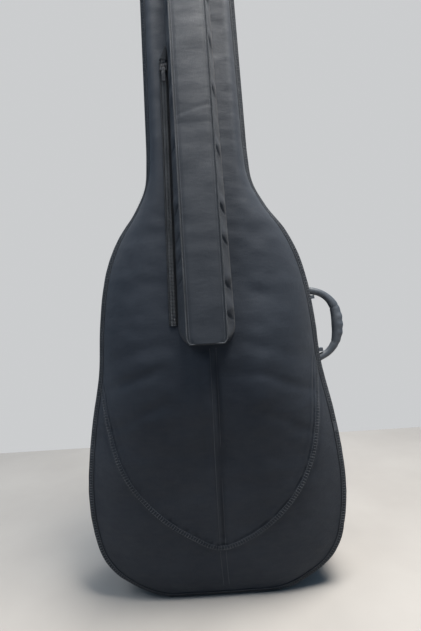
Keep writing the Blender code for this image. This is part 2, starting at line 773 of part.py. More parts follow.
def arch(name, lower, upper, out, reach, arm, grip, look):
    """A moulded handle from one ball end to the other, bowed out by its reach, thick in the middle."""
    lower, upper, out = Vector(lower), Vector(upper), Vector(out)
    count = 15
    points, radii = [], []
    for i in range(count):
        t = i / (count - 1)
        off_middle = abs(2 * t - 1)
        bow = (1 - off_middle**ARCH_SQUARENESS) ** 0.5
        flat = 0.5 - 0.5 * math.copysign(off_middle**ARCH_SPREAD, 1 - 2 * t)
        points.append(lower.lerp(upper, flat) + out * reach * bow)
        radii.append((arm + (grip - arm) * smooth_step((bow - GRIP_FROM) / GRIP_BLEND)) / grip)
    mesh = tube_mesh(name, points, radii, grip, resolution=2)
    obj = add_object(name, mesh, look)
    for end in (lower, upper):
        ball = bpy.data.meshes.new("ball")
        form = bmesh.new()
        bmesh.ops.create_uvsphere(form, u_segments=14, v_segments=8, radius=arm * 1.06)
        form.to_mesh(ball)
        form.free()
        combine(obj, ball, "UNION", Matrix.Translation(end))
    return obj


def make_carry_handle():
    """The handle on the right side wall, between two brackets, each a plate with an ear beside its arm."""
    rubber = (RUBBER, 0.55, 0.0)
    low = Vector((edge_half(HANDLE_BOTTOM), HANDLE_Y, HANDLE_BOTTOM))
    high = Vector((edge_half(HANDLE_TOP), HANDLE_Y, HANDLE_TOP))
    along = (high - low).normalized()
    out = Vector((along.z, 0, -along.x))
    ball_radius = HANDLE_ARM * 1.06
    seat = -PANEL_INSET + GAP
    wall_bulge = wall_clearance(low, high, out)
    base = seat + wall_bulge
    axis_out = base + PLATE_T + PLAY + ball_radius
    lower, upper = low + out * axis_out, high + out * axis_out
    handle = arch("carry_handle", lower, upper, out, HANDLE_REACH, HANDLE_ARM, HANDLE_RADIUS, rubber)
    hang_on("carry_handle_hinge", lower, [handle])
    for name, foot, inward in (("bottom", low, 1), ("top", high, -1)):
        place = frame_at(foot + out * (base + PLATE_T / 2), out, along)
        plate = add_object(
            f"handle_anchor_{name}",
            box_mesh("plate", (PLATE_WIDTH, PLATE_LENGTH, PLATE_T)),
            rubber,
        )
        plate.matrix_world = place
        ear_y = inward * (ball_radius + EAR_CLEARANCE + EAR_T / 2)
        ear_height = EAR_REACH + PLATE_T / 2
        ear = box_mesh("ear", (EAR_WIDTH, EAR_T, ear_height), (0, ear_y, ear_height / 2))
        combine(plate, ear, "UNION", place)


def wall_clearance(low, high, out):
    """How far the side wall stands out of the straight line between two points on it."""
    worst = 0.0
    for z in np.linspace(low.z - PLATE_LENGTH / 2, high.z + PLATE_LENGTH / 2, 25):
        point = Vector((edge_half(float(z)), HANDLE_Y, float(z)))
        worst = max(worst, (point - low).dot(out))
    return worst


def make_grab_handle():
    """The rolled grab handle on the back of the neck, on its patch."""
    back = back_y(0, GRAB_BOTTOM) + GAP
    plate_z = (GRAB_TOP + GRAB_BOTTOM) / 2
    length = GRAB_TOP - GRAB_BOTTOM + 0.040
    width = 0.044
    thick = 0.003
    mesh = box_mesh("grab_patch", (width, thick, length), (0, back + thick / 2, plate_z))
    add_object("grab_patch", mesh, (NYLON_DARK, 0.8, 0.0))
    axis_y = back + thick + PLAY + GRAB_ARM * 1.06
    lower, upper = (0, axis_y, GRAB_BOTTOM), (0, axis_y, GRAB_TOP)
    webbing = (NYLON_DARK, 0.8, 0.0)
    handle = arch("grab_handle", lower, upper, (0, 1, 0), GRAB_REACH, GRAB_ARM, GRAB_RADIUS, webbing)
    hang_on("grab_handle_hinge", lower, [handle])


def make_strap(side):
    """A shoulder strap hung from its upper seam: padded part, buckle, webbing and hook. Its tab is below."""
    name = "right" if side > 0 else "left"
    top = Vector((side * STRAP_TOP[0], 0, STRAP_TOP[1]))
    bottom = Vector((side * STRAP_BOTTOM[0], 0, STRAP_BOTTOM[1]))
    down = (bottom - top).normalized()
    across = Vector((-down.z, 0, down.x))
    base = BODY_DEPTH + BACK_CROWN + GAP
    end = PAD_LENGTH + BUCKLE_LENGTH + WEBBING_LENGTH

    def lift(distance):
        return STRAP_BOW * math.sin(math.pi * min(1.0, distance / end)) ** 1.2

    def strip(width, start, length, thickness, raised):
        def place(u, w):
            distance = start + length * w
            point = top + down * distance + across * width * (u - 0.5)
            return point.x, base + raised + lift(distance) + thickness, point.z

        return place

    cloth = (NYLON, 0.85, 0.0)
    pad_place = strip(STRAP_WIDTH, 0, PAD_LENGTH, STRAP_T, 0)
    pad = grid(f"strap_pad_{name}", 2, 10, pad_place, cloth, STRAP_T)
    buckle_at = PAD_LENGTH + GAP
    buckle_place = strap_frame(top + down * (buckle_at + BUCKLE_LENGTH / 2), across, down)
    buckle_place.translation.y = base + lift(buckle_at) + STRAP_T / 2
    frame = box_mesh("buckle", (BUCKLE_WIDTH, BUCKLE_LENGTH, BUCKLE_T))
    buckle = add_object(f"strap_buckle_{name}", frame, (PLASTIC, 0.45, 0.0))
    buckle.matrix_world = buckle_place
    for row in (-1, 0, 1):
        slot_size = (WEBBING_WIDTH + 2 * PLAY, SLOT_WIDTH, BUCKLE_T * 2)
        slot = box_mesh("slot", slot_size, (0, row * 2 * SLOT_WIDTH, 0))
        combine(buckle, slot, "DIFFERENCE", buckle_place)
    webbing_at = buckle_at + BUCKLE_LENGTH + GAP
    tape = (TAPE, 0.85, 0.0)
    webbing_place = strip(WEBBING_WIDTH, webbing_at, WEBBING_LENGTH, WEBBING_T, HOOK_LIFT)
    webbing = grid(f"strap_webbing_{name}", 1, 4, webbing_place, tape, WEBBING_T)
    hook_at = webbing_at + WEBBING_LENGTH + GAP
    hook_place = strap_frame(top + down * (hook_at + HOOK_LENGTH / 2), across, down)
    hook_place.translation.y = base + HOOK_LIFT + HOOK_T / 2 + lift(hook_at)
    hook_plate = box_mesh("hook", (HOOK_WIDTH, HOOK_LENGTH, HOOK_T))
    hook = add_object(f"strap_hook_{name}", hook_plate, (PLASTIC, 0.4, 0.0))
    hook.matrix_world = hook_place
    throat = (HOOK_WIDTH * 0.62, HOOK_LENGTH * 0.34, HOOK_T * 2)
    combine(hook, box_mesh("throat", throat, (0, -HOOK_LENGTH * 0.12, 0)), "DIFFERENCE", hook_place)
    hinge = top.copy()
    hinge.y = base + STRAP_T / 2
    hang_on(f"strap_{name}_hinge", hinge, [pad, buckle, webbing, hook])
    make_ring(name, top + down * (hook_at + HOOK_LENGTH), across, down)


def strap_frame(point, across, down):
    """A matrix with X across a strap, Y up it and Z out of the back."""
    matrix = Matrix((across, -down, Vector((0, 1, 0)))).transposed().to_4x4()
    if matrix.to_3x3().determinant() < 0:
        matrix = Matrix((-across, -down, Vector((0, 1, 0)))).transposed().to_4x4()
    matrix.translation = point
    return matrix


def make_ring(name, hook_end, across, down):
    """The tab below the strap, and the D-ring that hangs in it, whose straight bar runs through the tab."""
    tab_middle = hook_end + down * (TAB_LENGTH / 2 + PLAY)
    base = back_y(abs(tab_middle.x) - TAB_WIDTH / 2, tab_middle.z) + 2 * GAP
    bar_at = tab_middle + down * (TAB_LENGTH / 2 - TAB_T / 2)
    bar_y = base + TAB_T / 2
    points = []
    arc = 9
    for i in range(arc):
        turn = math.pi * i / (arc - 1)
        point = bar_at + across * RING_HALF * math.cos(turn) + down * RING_DROP * math.sin(turn)
        points.append((point.x, bar_y, point.z))
    mesh = tube_mesh(f"strap_ring_{name}", points, [1.0] * arc, RING_WIRE, cyclic=True)
    ring = add_object(f"strap_ring_{name}", mesh, (BLACK_METAL, 0.35, 0.9))
    hang_on(f"strap_ring_{name}_hinge", (bar_at.x, bar_y, bar_at.z), [ring])
    place = strap_frame(tab_middle, across, down)
    place.translation.y = base + TAB_T / 2
    loop = box_mesh("tab", (TAB_WIDTH, TAB_LENGTH, TAB_T))
    tab = add_object(f"strap_tab_{name}", loop, (TAPE, 0.85, 0.0))
    tab.matrix_world = place
    bar = cylinder_mesh("bar", RING_WIRE + PLAY, 2 * TAB_WIDTH, across, (bar_at.x, bar_y, bar_at.z), 12)
    combine(tab, bar, "DIFFERENCE", Matrix.Identity(4))


def make_yoke():
    """The patch that covers the straps' upper seams."""
    width = 2 * STRAP_TOP[0] + 1.2 * STRAP_WIDTH
    lean = math.atan2(STRAP_BOTTOM[0] - STRAP_TOP[0], STRAP_TOP[1] - STRAP_BOTTOM[1])
    corner = math.hypot(math.sin(lean) * STRAP_WIDTH / 2, STRAP_T / 2)
    z = STRAP_TOP[1] + corner + PLAY + YOKE_HEIGHT / 2
    y = max(back_y(0, STRAP_TOP[1]), back_y(0, z)) + GAP + YOKE_T / 2
    mesh = box_mesh("yoke", (width, YOKE_T, YOKE_HEIGHT), (0, y, z))
    add_object("strap_yoke", mesh, (NYLON_DARK, 0.8, 0.0))


def make_inside():
    """What holds the cello: a neck cradle, a two-part neck strap and a cup for the foot of the endpin."""
    foam = (FOAM, 0.95, 0.0)
    inner = panel_half(CRADLE_HEIGHT) - GUSSET_T
    width, thick, tall = CRADLE_SIZE
    width = min(width, 2 * inner)
    y = back_y(width / 2, CRADLE_HEIGHT - tall / 2) - PANEL_T - 2 * GAP - thick / 2
    cradle = add_object("neck_cradle", box_mesh("cradle", (width, thick, tall), (0, y, CRADLE_HEIGHT)), foam)
    groove_at = (0, y - CRADLE_GROOVE, CRADLE_HEIGHT)
    groove = cylinder_mesh("groove", CRADLE_GROOVE, tall * 2, (0, 0, 1), groove_at)
    combine(cradle, groove, "DIFFERENCE", Matrix.Identity(4))

    wall = panel_half(NECK_STRAP_HEIGHT + NECK_STRAP_WIDTH / 2) - GUSSET_T - GAP - 0.0006
    webbing = (TAPE, 0.85, 0.0)
    length = wall + NECK_STRAP_OVERLAP
    size = (length, NECK_STRAP_T, NECK_STRAP_WIDTH)
    fixed = box_mesh("strap", size, (length / 2 - wall, NECK_STRAP_Y, NECK_STRAP_HEIGHT))
    add_object("neck_strap_fixed", fixed, webbing)
    flap_y = NECK_STRAP_Y - NECK_STRAP_T - GAP
    peeling = box_mesh("flap", size, (wall - length / 2, flap_y, NECK_STRAP_HEIGHT))
    flap = add_object("neck_strap_flap", peeling, webbing)
    hang_on("neck_strap_hinge", (wall, flap_y - NECK_STRAP_T / 2, NECK_STRAP_HEIGHT), [flap])

    floor = PANEL_INSET + GUSSET_T + GAP
    place = (0, BODY_DEPTH / 2, floor + CUP_HEIGHT / 2)
    cup = add_object(
        "endpin_cup", cylinder_mesh("cup", CUP_RADIUS, CUP_HEIGHT, (0, 0, 1), place, 24), (PLASTIC, 0.6, 0.0)
    )
    bore_at = (place[0], place[1], place[2] + CUP_HEIGHT / 4)
    bore = cylinder_mesh("bore", CUP_BORE, CUP_HEIGHT, (0, 0, 1), bore_at, 20)
    combine(cup, bore, "DIFFERENCE", Matrix.Identity(4))


def build():
    make_shell()
    lid = make_lid()
    fixed = make_pocket()
    fold_y = front_y(0, FOLD)
    hang_on("lid_hinge", (0, fold_y, FOLD), lid + fixed)
    make_sliders()
    make_carry_handle()
    make_grab_handle()
    for side in (-1, 1):
        make_strap(side)
    make_yoke()
    make_inside()
    for obj in [*parts.objects, *helpers.objects]:
        if obj.parent is None:
            obj.location += Vector((0, -BODY_DEPTH / 2, PATCH_PROUD))
    bpy.context.view_layer.update()


clear_scene()
parts = new_collection("cello_case")
helpers = new_collection("cutters")
helpers.hide_render = True
build()
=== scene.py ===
"""Dresses the cello case: padded cloth, taped edges, zips, a moulded handle, straps, and the stage."""

import math

import bmesh
import bpy
import numpy as np
from mathutils import Matrix, Vector


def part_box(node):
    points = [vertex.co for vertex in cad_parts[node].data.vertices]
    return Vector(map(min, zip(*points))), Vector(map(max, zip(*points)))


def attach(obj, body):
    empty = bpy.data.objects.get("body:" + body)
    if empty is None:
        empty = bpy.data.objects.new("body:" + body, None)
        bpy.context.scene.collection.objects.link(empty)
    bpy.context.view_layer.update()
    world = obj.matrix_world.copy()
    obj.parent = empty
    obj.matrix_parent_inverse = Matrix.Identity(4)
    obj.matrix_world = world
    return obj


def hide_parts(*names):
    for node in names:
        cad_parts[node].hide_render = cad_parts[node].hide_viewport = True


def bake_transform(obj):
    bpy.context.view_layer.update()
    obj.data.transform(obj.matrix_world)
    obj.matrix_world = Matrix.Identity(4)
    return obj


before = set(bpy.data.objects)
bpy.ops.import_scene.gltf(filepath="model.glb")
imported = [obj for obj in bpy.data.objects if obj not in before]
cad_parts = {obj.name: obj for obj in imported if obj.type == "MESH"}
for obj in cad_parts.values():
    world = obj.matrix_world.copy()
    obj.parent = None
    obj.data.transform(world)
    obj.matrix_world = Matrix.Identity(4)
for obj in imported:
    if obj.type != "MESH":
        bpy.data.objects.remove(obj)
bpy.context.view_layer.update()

# The case's own sizes, in metres. Depths count from the plane of the front edge.
LENGTH = 1.330
BODY_DEPTH, NECK_DEPTH = 0.175, 0.125
STEP_FROM, STEP_TO = 0.700, 0.880
BACK_CROWN = 0.005
BASE_LIFT = 0.0006
FOLD = 0.315
PANEL_INSET = 0.0034
FLAT_HALF = 0.064
BELLY_POWER = 2.6
LOW_OUTLINE = [
    (0.0, 0.100), (0.010, 0.139), (0.028, 0.174), (0.052, 0.207), (0.085, 0.231), (0.135, 0.245),
    (0.205, 0.251), (0.276, 0.246), (0.347, 0.2355), (0.441, 0.217), (0.535, 0.209), (0.606, 0.1985),
    (0.654, 0.1855), (0.702, 0.163), (0.751, 0.128), (0.799, 0.1045), (0.846, 0.099), (0.900, 0.097),
]
TOP_OUTLINE = [(1.230, 0.090), (1.290, 0.078), (1.318, 0.055), (LENGTH, 0.030)]
BELLY = [(0.0, 0.0), (0.030, 0.017), (0.100, 0.038), (0.200, 0.062), (0.300, 0.086), (0.400, 0.108)]
BELLY_PEAK, BELLY_END = (0.470, 0.112), (1.270, 0.022)
U_SEAM = [
    (-0.2115, 0.452), (-0.198, 0.405), (-0.1865, 0.353), (-0.1745, 0.302), (-0.152, 0.250),
    (-0.1015, 0.1865), (-0.055, 0.148), (0.002, 0.1185), (0.050, 0.135), (0.0915, 0.1645),
    (0.131, 0.207), (0.159, 0.251), (0.176, 0.300), (0.1845, 0.350), (0.1895, 0.400),
    (0.195, 0.440), (0.2085, 0.476),
]
CENTRE_SEAM = [(0.007, 0.003), (0.004, 0.092), (0.004, 0.184), (0.005, 0.282), (0.007, 0.379), (0.008, 0.467)]
POCKET_BOTTOM, POCKET_TOP = 0.497, 1.262
POCKET_HALF, POCKET_DEPTH = 0.033, 0.034
POCKET_ZIP = ((-0.0560, 0.530), (-0.0495, 1.010))
ZIP_Y = 0.0244
COIL_PITCH = 0.0024
FRONT_SHEET = 0.0072


def curve_through(points, before, after, steps=10):
    """A smooth run of points through the given ones."""
    line = [Vector(point) for point in (before, *points, after)]
    spans = [(b - a).length for a, b in zip(line, line[1:])]
    slopes = []
    for i in range(1, len(line) - 1):
        back = (line[i] - line[i - 1]) / spans[i - 1]
        ahead = (line[i + 1] - line[i]) / spans[i]
        slopes.append((back * spans[i] + ahead * spans[i - 1]) / (spans[i - 1] + spans[i]))
    run = []
    for i in range(len(slopes) - 1):
        start, end, span = line[i + 1], line[i + 2], spans[i + 1]
        for step in range(steps):
            t = step / steps
            run.append(
                start * (2 * t**3 - 3 * t**2 + 1) + end * (3 * t**2 - 2 * t**3)
                + slopes[i] * span * (t**3 - 2 * t**2 + t) + slopes[i + 1] * span * (t**3 - t**2)
            )
    return run + [line[-2]]


def case_outline():
    """The right side of the front edge: heights, half widths and the outward direction at each."""
    root, top = Vector(LOW_OUTLINE[-1]), Vector(TOP_OUTLINE[0])
    along = (top - root).normalized() * 0.03
    lower = curve_through(LOW_OUTLINE, (0.0, 0.07), root + along)
    upper = curve_through(TOP_OUTLINE, top - along, (LENGTH, 0.0))
    line = np.array([tuple(point) for point in lower + upper])
    slope = np.gradient(line, axis=0)
    slope /= np.linalg.norm(slope, axis=1)[:, None]
    return line[:, 0], line[:, 1], -slope[:, 1], slope[:, 0]


EDGE_Z, EDGE_X, NORMAL_Z, NORMAL_X = case_outline()
EDGE_RUN = np.concatenate([[0.0], np.cumsum(np.hypot(np.diff(EDGE_X), np.diff(EDGE_Z)))])
BELLY_LINE = np.array([
    tuple(point)
    for point in curve_through([*BELLY, BELLY_PEAK], (-0.01, -0.01), BELLY_END)
    + curve_through([BELLY_END, (LENGTH, 0.0)], BELLY_PEAK, (LENGTH + 0.01, -0.02))
])


def inset_half(z, inset):
    return np.interp(z, EDGE_Z - NORMAL_Z * inset, EDGE_X - NORMAL_X * inset)


def smooth_step(value):
    value = np.clip(value, 0.0, 1.0)
    return value * value * (3 - 2 * value)


def belly(z):
    return np.interp(z, BELLY_LINE[:, 0], BELLY_LINE[:, 1])


def front_y(x, z):
    half = inset_half(z, PANEL_INSET)
    out = np.clip((np.abs(x) - FLAT_HALF) / np.maximum(half - FLAT_HALF, 0.001), 0.0, 1.0)
    return -belly(z) * (1 - out**BELLY_POWER)


def depth_at(z):
    return BODY_DEPTH + (NECK_DEPTH - BODY_DEPTH) * smooth_step((z - STEP_FROM) / (STEP_TO - STEP_FROM))


def back_y(x, z):
    fade = smooth_step(z / 0.1) * smooth_step((LENGTH - z) / 0.1)
    across = np.minimum(1.0, np.abs(x) / inset_half(z, PANEL_INSET))
    return depth_at(z) + BACK_CROWN * fade * (1 - across**2)


def ripple(a, b, size, seed, waves=7):
    """Soft, uneven waves over two coordinates, about the given size across, between -1 and 1."""
    chance = np.random.default_rng(seed)
    total = np.zeros(np.broadcast(a, b).shape)
    for _ in range(waves):
        turn, phase = chance.uniform(0, 2 * math.pi, 2)
        number = 2 * math.pi / (size * chance.uniform(0.7, 1.6))
        total += np.sin(number * (a * math.cos(turn) + b * math.sin(turn)) + phase)
    return total / waves * 1.6


def bump_at(value, centre, width):
    return np.exp(-(((value - centre) / width) ** 2))


def in_place(points):
    """Moves points from the front edge's plane to where the standing case has them."""
    return np.asarray(points, dtype=float) + np.array([0.0, -BODY_DEPTH / 2, BASE_LIFT])


# Materials: each is built from nodes on Object coordinates


class Finish:
    """A material in the making, with short ways to add and join its nodes."""

    def __init__(self, name, roughness, sheen=0.0, metallic=0.0, specular=0.5):
        self.material = bpy.data.materials.new(name)
        self.material.use_nodes = True
        self.nodes = self.material.node_tree.nodes
        self.links = self.material.node_tree.links
        self.shader = self.nodes["Principled BSDF"]
        self.shader.inputs["Roughness"].default_value = roughness
        self.shader.inputs["Metallic"].default_value = metallic
        self.shader.inputs["Sheen Weight"].default_value = sheen
        self.shader.inputs["Sheen Roughness"].default_value = 0.45
        self.shader.inputs["Specular IOR Level"].default_value = specular
        self.place = self.add("ShaderNodeTexCoord").outputs["Object"]

    def add(self, kind, **values):
        node = self.nodes.new(kind)
        for key, value in values.items():
            setattr(node, key, value)
        return node

    def noise(self, scale, detail=4.0, roughness=0.55, stretch=(1, 1, 1)):
        mapping = self.add("ShaderNodeMapping")
        mapping.inputs["Scale"].default_value = stretch
        self.links.new(self.place, mapping.inputs["Vector"])
        node = self.add("ShaderNodeTexNoise")
        node.inputs["Scale"].default_value = scale
        node.inputs["Detail"].default_value = detail
        node.inputs["Roughness"].default_value = roughness
        self.links.new(mapping.outputs["Vector"], node.inputs["Vector"])
        return node.outputs["Fac"]

    def wave(self, scale, direction, distortion=0.6):
        node = self.add("ShaderNodeTexWave", bands_direction=direction)
        node.inputs["Scale"].default_value = scale
        node.inputs["Distortion"].default_value = distortion
        node.inputs["Detail"].default_value = 1.0
        self.links.new(self.place, node.inputs["Vector"])
        return node.outputs["Fac"]

    def maths(self, kind, first, second):
        node = self.add("ShaderNodeMath", operation=kind)
        for socket, value in zip(node.inputs, (first, second)):
            if isinstance(value, (int, float)):
                socket.default_value = value
            else:
                self.links.new(value, socket)
        return node.outputs[0]

    def ramp(self, factor, stops):
        node = self.add("ShaderNodeValToRGB")
        points = node.color_ramp.elements
        while len(points) < len(stops):
            points.new(0.5)
        for point, (position, colour) in zip(points, stops):
            point.position = position
            point.color = (*colour, 1.0) if len(colour) == 3 else colour
        self.links.new(factor, node.inputs["Fac"])
        return node.outputs["Color"]

    def mix(self, factor, first, second, blend="MIX"):
        node = self.add("ShaderNodeMix", data_type="RGBA", blend_type=blend)
        for socket, value in ((node.inputs[0], factor), (node.inputs[6], first), (node.inputs[7], second)):
            if isinstance(value, (int, float)):
                socket.default_value = value
            elif isinstance(value, tuple):
                socket.default_value = (*value, 1.0)
            else:
                self.links.new(value, socket)
        return node.outputs[2]

    def colour(self, value):
        self.links.new(value, self.shader.inputs["Base Color"])

    def rough(self, value, low, high):
        node = self.add("ShaderNodeMapRange")
        node.inputs["To Min"].default_value = low
        node.inputs["To Max"].default_value = high
        self.links.new(value, node.inputs["Value"])
        self.links.new(node.outputs[0], self.shader.inputs["Roughness"])

    def bump(self, heights):
        """Adds bumps from (height, strength, distance) one over the other."""
        below = None
        for height, strength, distance in heights:
            node = self.add("ShaderNodeBump")
            node.inputs["Strength"].default_value = strength
            node.inputs["Distance"].default_value = distance
            self.links.new(height, node.inputs["Height"])
            if below is not None:
                self.links.new(below, node.inputs["Normal"])
            below = node.outputs["Normal"]
        self.links.new(below, self.shader.inputs["Normal"])


def woven_cloth(name, dark, light, thread=0.0011, sheen=0.04, fleck=0.13):
    """Coated nylon: a plain weave, blotches of wear and dust, and fine creases."""
    finish = Finish(name, 0.72, sheen=sheen, specular=0.35)
    number = 1.0 / thread
    weave = finish.maths(
        "MULTIPLY", finish.wave(number, "X", 1.2), finish.maths("MAXIMUM", finish.wave(number, "Z", 1.2), finish.wave(number, "Y", 1.2))
    )
    blotch = finish.noise(9.0, 5.0, 0.6)
    dust = finish.noise(620.0, 2.0, 0.7)
    creases = finish.noise(46.0, 6.0, 0.62, (1.0, 1.0, 2.4))
    base = finish.ramp(blotch, [(0.30, dark), (0.72, light)])
    threads = finish.ramp(weave, [(0.0, (0.72, 0.72, 0.74)), (0.6, (1.06, 1.06, 1.06))])
    base = finish.mix(0.55, base, threads, "MULTIPLY")
    specks = finish.ramp(dust, [(0.60, (0.0, 0.0, 0.0)), (0.78, (1.0, 1.0, 1.0))])
    finish.colour(finish.mix(finish.maths("MULTIPLY", specks, fleck), base, (0.070, 0.074, 0.079)))
    finish.rough(creases, 0.58, 0.86)
    finish.bump([(creases, 0.35, 0.0016), (weave, 0.30, 0.0003), (dust, 0.18, 0.0002)])
    return finish.material


def ribbed_tape(name, dark, light, rib=0.0016, direction="DIAGONAL"):
    """Grosgrain and webbing: fine ribs with a worn, paler top."""
    finish = Finish(name, 0.8, sheen=0.04, specular=0.3)
    ribs = finish.wave(1.0 / rib, direction, 0.4)
    blotch = finish.noise(22.0, 4.0)
    fuzz = finish.noise(700.0, 2.0, 0.7)
    base = finish.ramp(blotch, [(0.32, dark), (0.7, light)])
    tops = finish.ramp(ribs, [(0.1, (0.68, 0.68, 0.70)), (0.8, (1.12, 1.12, 1.12))])
    finish.colour(finish.mix(0.8, base, tops, "MULTIPLY"))
    finish.rough(blotch, 0.7, 0.9)
    finish.bump([(ribs, 0.5, 0.0005), (fuzz, 0.25, 0.0003)])
    return finish.material


def moulded(name, dark, light, grain=900.0, low=0.38, high=0.58):
    """Moulded rubber or plastic: a fine grain, with smoother rubbed places."""
    finish = Finish(name, 0.5, specular=0.5)
    blotch = finish.noise(30.0, 5.0)
    fine = finish.noise(grain, 2.0, 0.6)
    finish.colour(finish.ramp(blotch, [(0.35, dark), (0.7, light)]))
    finish.rough(blotch, low, high)
    finish.bump([(fine, 0.22, 0.0003), (blotch, 0.12, 0.001)])
    return finish.material


def enamelled(name, dark, light):
    """Black enamel on metal, rubbed paler in places."""
    finish = Finish(name, 0.35, metallic=0.75, specular=0.5)
    rub = finish.noise(140.0, 5.0, 0.65)
    fine = finish.noise(1400.0, 2.0)
    finish.colour(finish.ramp(rub, [(0.45, dark), (0.75, light)]))
    finish.rough(rub, 0.28, 0.5)
    finish.bump([(fine, 0.1, 0.0002)])
    return finish.material


NYLON = woven_cloth("front cloth", (0.0088, 0.0136, 0.0225), (0.0172, 0.0232, 0.0335))
# The pocket's face and side walls take a lighter copy of the front nylon: painted light for the light they catch, not a
# different cloth.
POCKET_NYLON_PAINTED_LIGHT = woven_cloth("pocket cloth with painted light", (0.0128, 0.0172, 0.0248), (0.0225, 0.0276, 0.0360))
SIDE_NYLON = woven_cloth("side cloth", (0.0090, 0.0122, 0.0180), (0.0170, 0.0214, 0.0288))
BINDING = ribbed_tape("edge binding", (0.0078, 0.0104, 0.0150), (0.0155, 0.0196, 0.0260))
PIPING = ribbed_tape("pocket piping", (0.0260, 0.0300, 0.0350), (0.0520, 0.0580, 0.0660), rib=0.0011)
ZIP_TAPE = ribbed_tape("zip tape", (0.0080, 0.0092, 0.0115), (0.0150, 0.0170, 0.0200), rib=0.0009)
WEBBING = ribbed_tape("webbing", (0.0140, 0.0160, 0.0195), (0.0270, 0.0305, 0.0360), rib=0.0019, direction="Z")
THREAD = ribbed_tape("sewing thread", (0.0600, 0.0670, 0.0780), (0.1200, 0.1290, 0.1430), rib=0.0006)
COIL = moulded("zip coil", (0.0700, 0.0760, 0.0850), (0.1300, 0.1380, 0.1500), grain=1500.0, low=0.3, high=0.45)
HANDLE_RUBBER = moulded("handle rubber", (0.0520, 0.0610, 0.0740), (0.0860, 0.0970, 0.1130))
BLACK_PLASTIC = moulded("black plastic", (0.020, 0.021, 0.024), (0.034, 0.036, 0.040), grain=1300.0)
WEAR_SHEET = moulded("wear sheet", (0.018, 0.020, 0.023), (0.034, 0.036, 0.040), grain=380.0, low=0.6, high=0.8)
ENAMEL = enamelled("slider enamel", (0.028, 0.029, 0.032), (0.13, 0.13, 0.135))
PLUSH = woven_cloth("plush lining", (0.050, 0.052, 0.058), (0.085, 0.088, 0.096), thread=0.0016, sheen=0.35)


# Ways to make the pieces


def finish_piece(name, mesh, material, body, nodes=(), smooth=True):
    """Stands a mesh in the scene as a piece that rides on a body and takes the place of the given nodes."""
    if smooth:
        mesh.shade_smooth()
    mesh.materials.clear()
    mesh.materials.append(material)
    obj = bpy.data.objects.new(name, mesh)
    bpy.context.scene.collection.objects.link(obj)
    if body:
        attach(obj, body)
    if nodes:
        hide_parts(*nodes)
    return obj


def closed_sheet(name, outer, thickness, wrap=False):
    """A sheet with thickness from a grid of outer points (rows, columns, 3), closed round its edges."""
    rows, columns, _ = outer.shape
    down = np.gradient(outer, axis=0)
    across = np.gradient(outer, axis=1)
    if wrap:
        down = (np.roll(outer, -1, 0) - np.roll(outer, 1, 0)) / 2
    normal = np.cross(across, down)
    normal /= np.maximum(np.linalg.norm(normal, axis=2), 1e-9)[..., None]
    inner = outer - normal * np.broadcast_to(np.asarray(thickness), (rows, columns))[..., None]
    points = np.concatenate([outer.reshape(-1, 3), inner.reshape(-1, 3)])
    count = rows * columns
    faces = []
    last = rows if wrap else rows - 1
    for r in range(last):
        q = (r + 1) % rows
        for c in range(columns - 1):
            a, b, d, e = r * columns + c, r * columns + c + 1, q * columns + c + 1, q * columns + c
            faces.append((a, b, d, e))
            faces.append((count + a, count + e, count + d, count + b))
        for c in (0, columns - 1):
            a, e = r * columns + c, q * columns + c
            faces.append((a, e, count + e, count + a) if c == 0 else (a, count + a, count + e, e))
    if not wrap:
        for r in (0, rows - 1):
            for c in range(columns - 1):
                a, b = r * columns + c, r * columns + c + 1
                faces.append((a, count + a, count + b, b) if r == 0 else (a, b, count + b, count + a))
    return mesh_from(name, points, faces)


def swept(name, rings, closed=False):
    """A closed skin over rings of points, capped at its ends unless it runs round to its start."""
    count, around = len(rings), len(rings[0])
    points = np.concatenate([np.asarray(ring, dtype=float) for ring in rings])
    faces = []
    for r in range(count if closed else count - 1):
        q = (r + 1) % count
        for c in range(around):
            d = (c + 1) % around
            faces.append((r * around + c, r * around + d, q * around + d, q * around + c))
    if not closed:
        faces.append(tuple(range(around - 1, -1, -1)))
        faces.append(tuple((count - 1) * around + c for c in range(around)))
    return mesh_from(name, points, faces)


def mesh_from(name, points, faces):
    """A mesh whose faces all point outwards."""
    mesh = bpy.data.meshes.new(name)
    mesh.from_pydata([tuple(point) for point in points], [], faces)
    form = bmesh.new()
    form.from_mesh(mesh)
    bmesh.ops.remove_doubles(form, verts=form.verts, dist=1e-6)
    bmesh.ops.recalc_face_normals(form, faces=form.faces)
    form.to_mesh(mesh)
    form.free()
    return mesh


def tube_along(name, path, width, height, upright, around=16, power=2.0, swell=None):
    """A rounded bar along a path. Width lies across it and height along the upright direction."""
    path = np.asarray(path, dtype=float)
    along = np.gradient(path, axis=0)
    along /= np.linalg.norm(along, axis=1)[:, None]
    rings = []
    angles = np.linspace(0, 2 * math.pi, around, endpoint=False)
    for i, point in enumerate(path):
        up = np.asarray(upright[i] if np.ndim(upright) == 2 else upright, dtype=float)
        side = np.cross(along[i], up)
        side /= np.linalg.norm(side)
        up = np.cross(side, along[i])
        grow = 1.0 if swell is None else swell[i]
        cos, sin = np.cos(angles), np.sin(angles)
        a = np.sign(cos) * np.abs(cos) ** (2 / power) * width / 2 * grow
        b = np.sign(sin) * np.abs(sin) ** (2 / power) * height / 2 * grow
        rings.append(point + side * a[:, None] + up * b[:, None])
    return swept(name, rings)


def polyline(name, paths):
    """Loose edges along paths, for a node tree to work on."""
    points, edges = [], []
    for path in paths:
        first = len(points)
        points += [tuple(point) for point in path]
        edges += [(first + i, first + i + 1) for i in range(len(path) - 1)]
    mesh = bpy.data.meshes.new(name)
    mesh.from_pydata(points, edges, [])
    return bpy.data.objects.new(name, mesh)


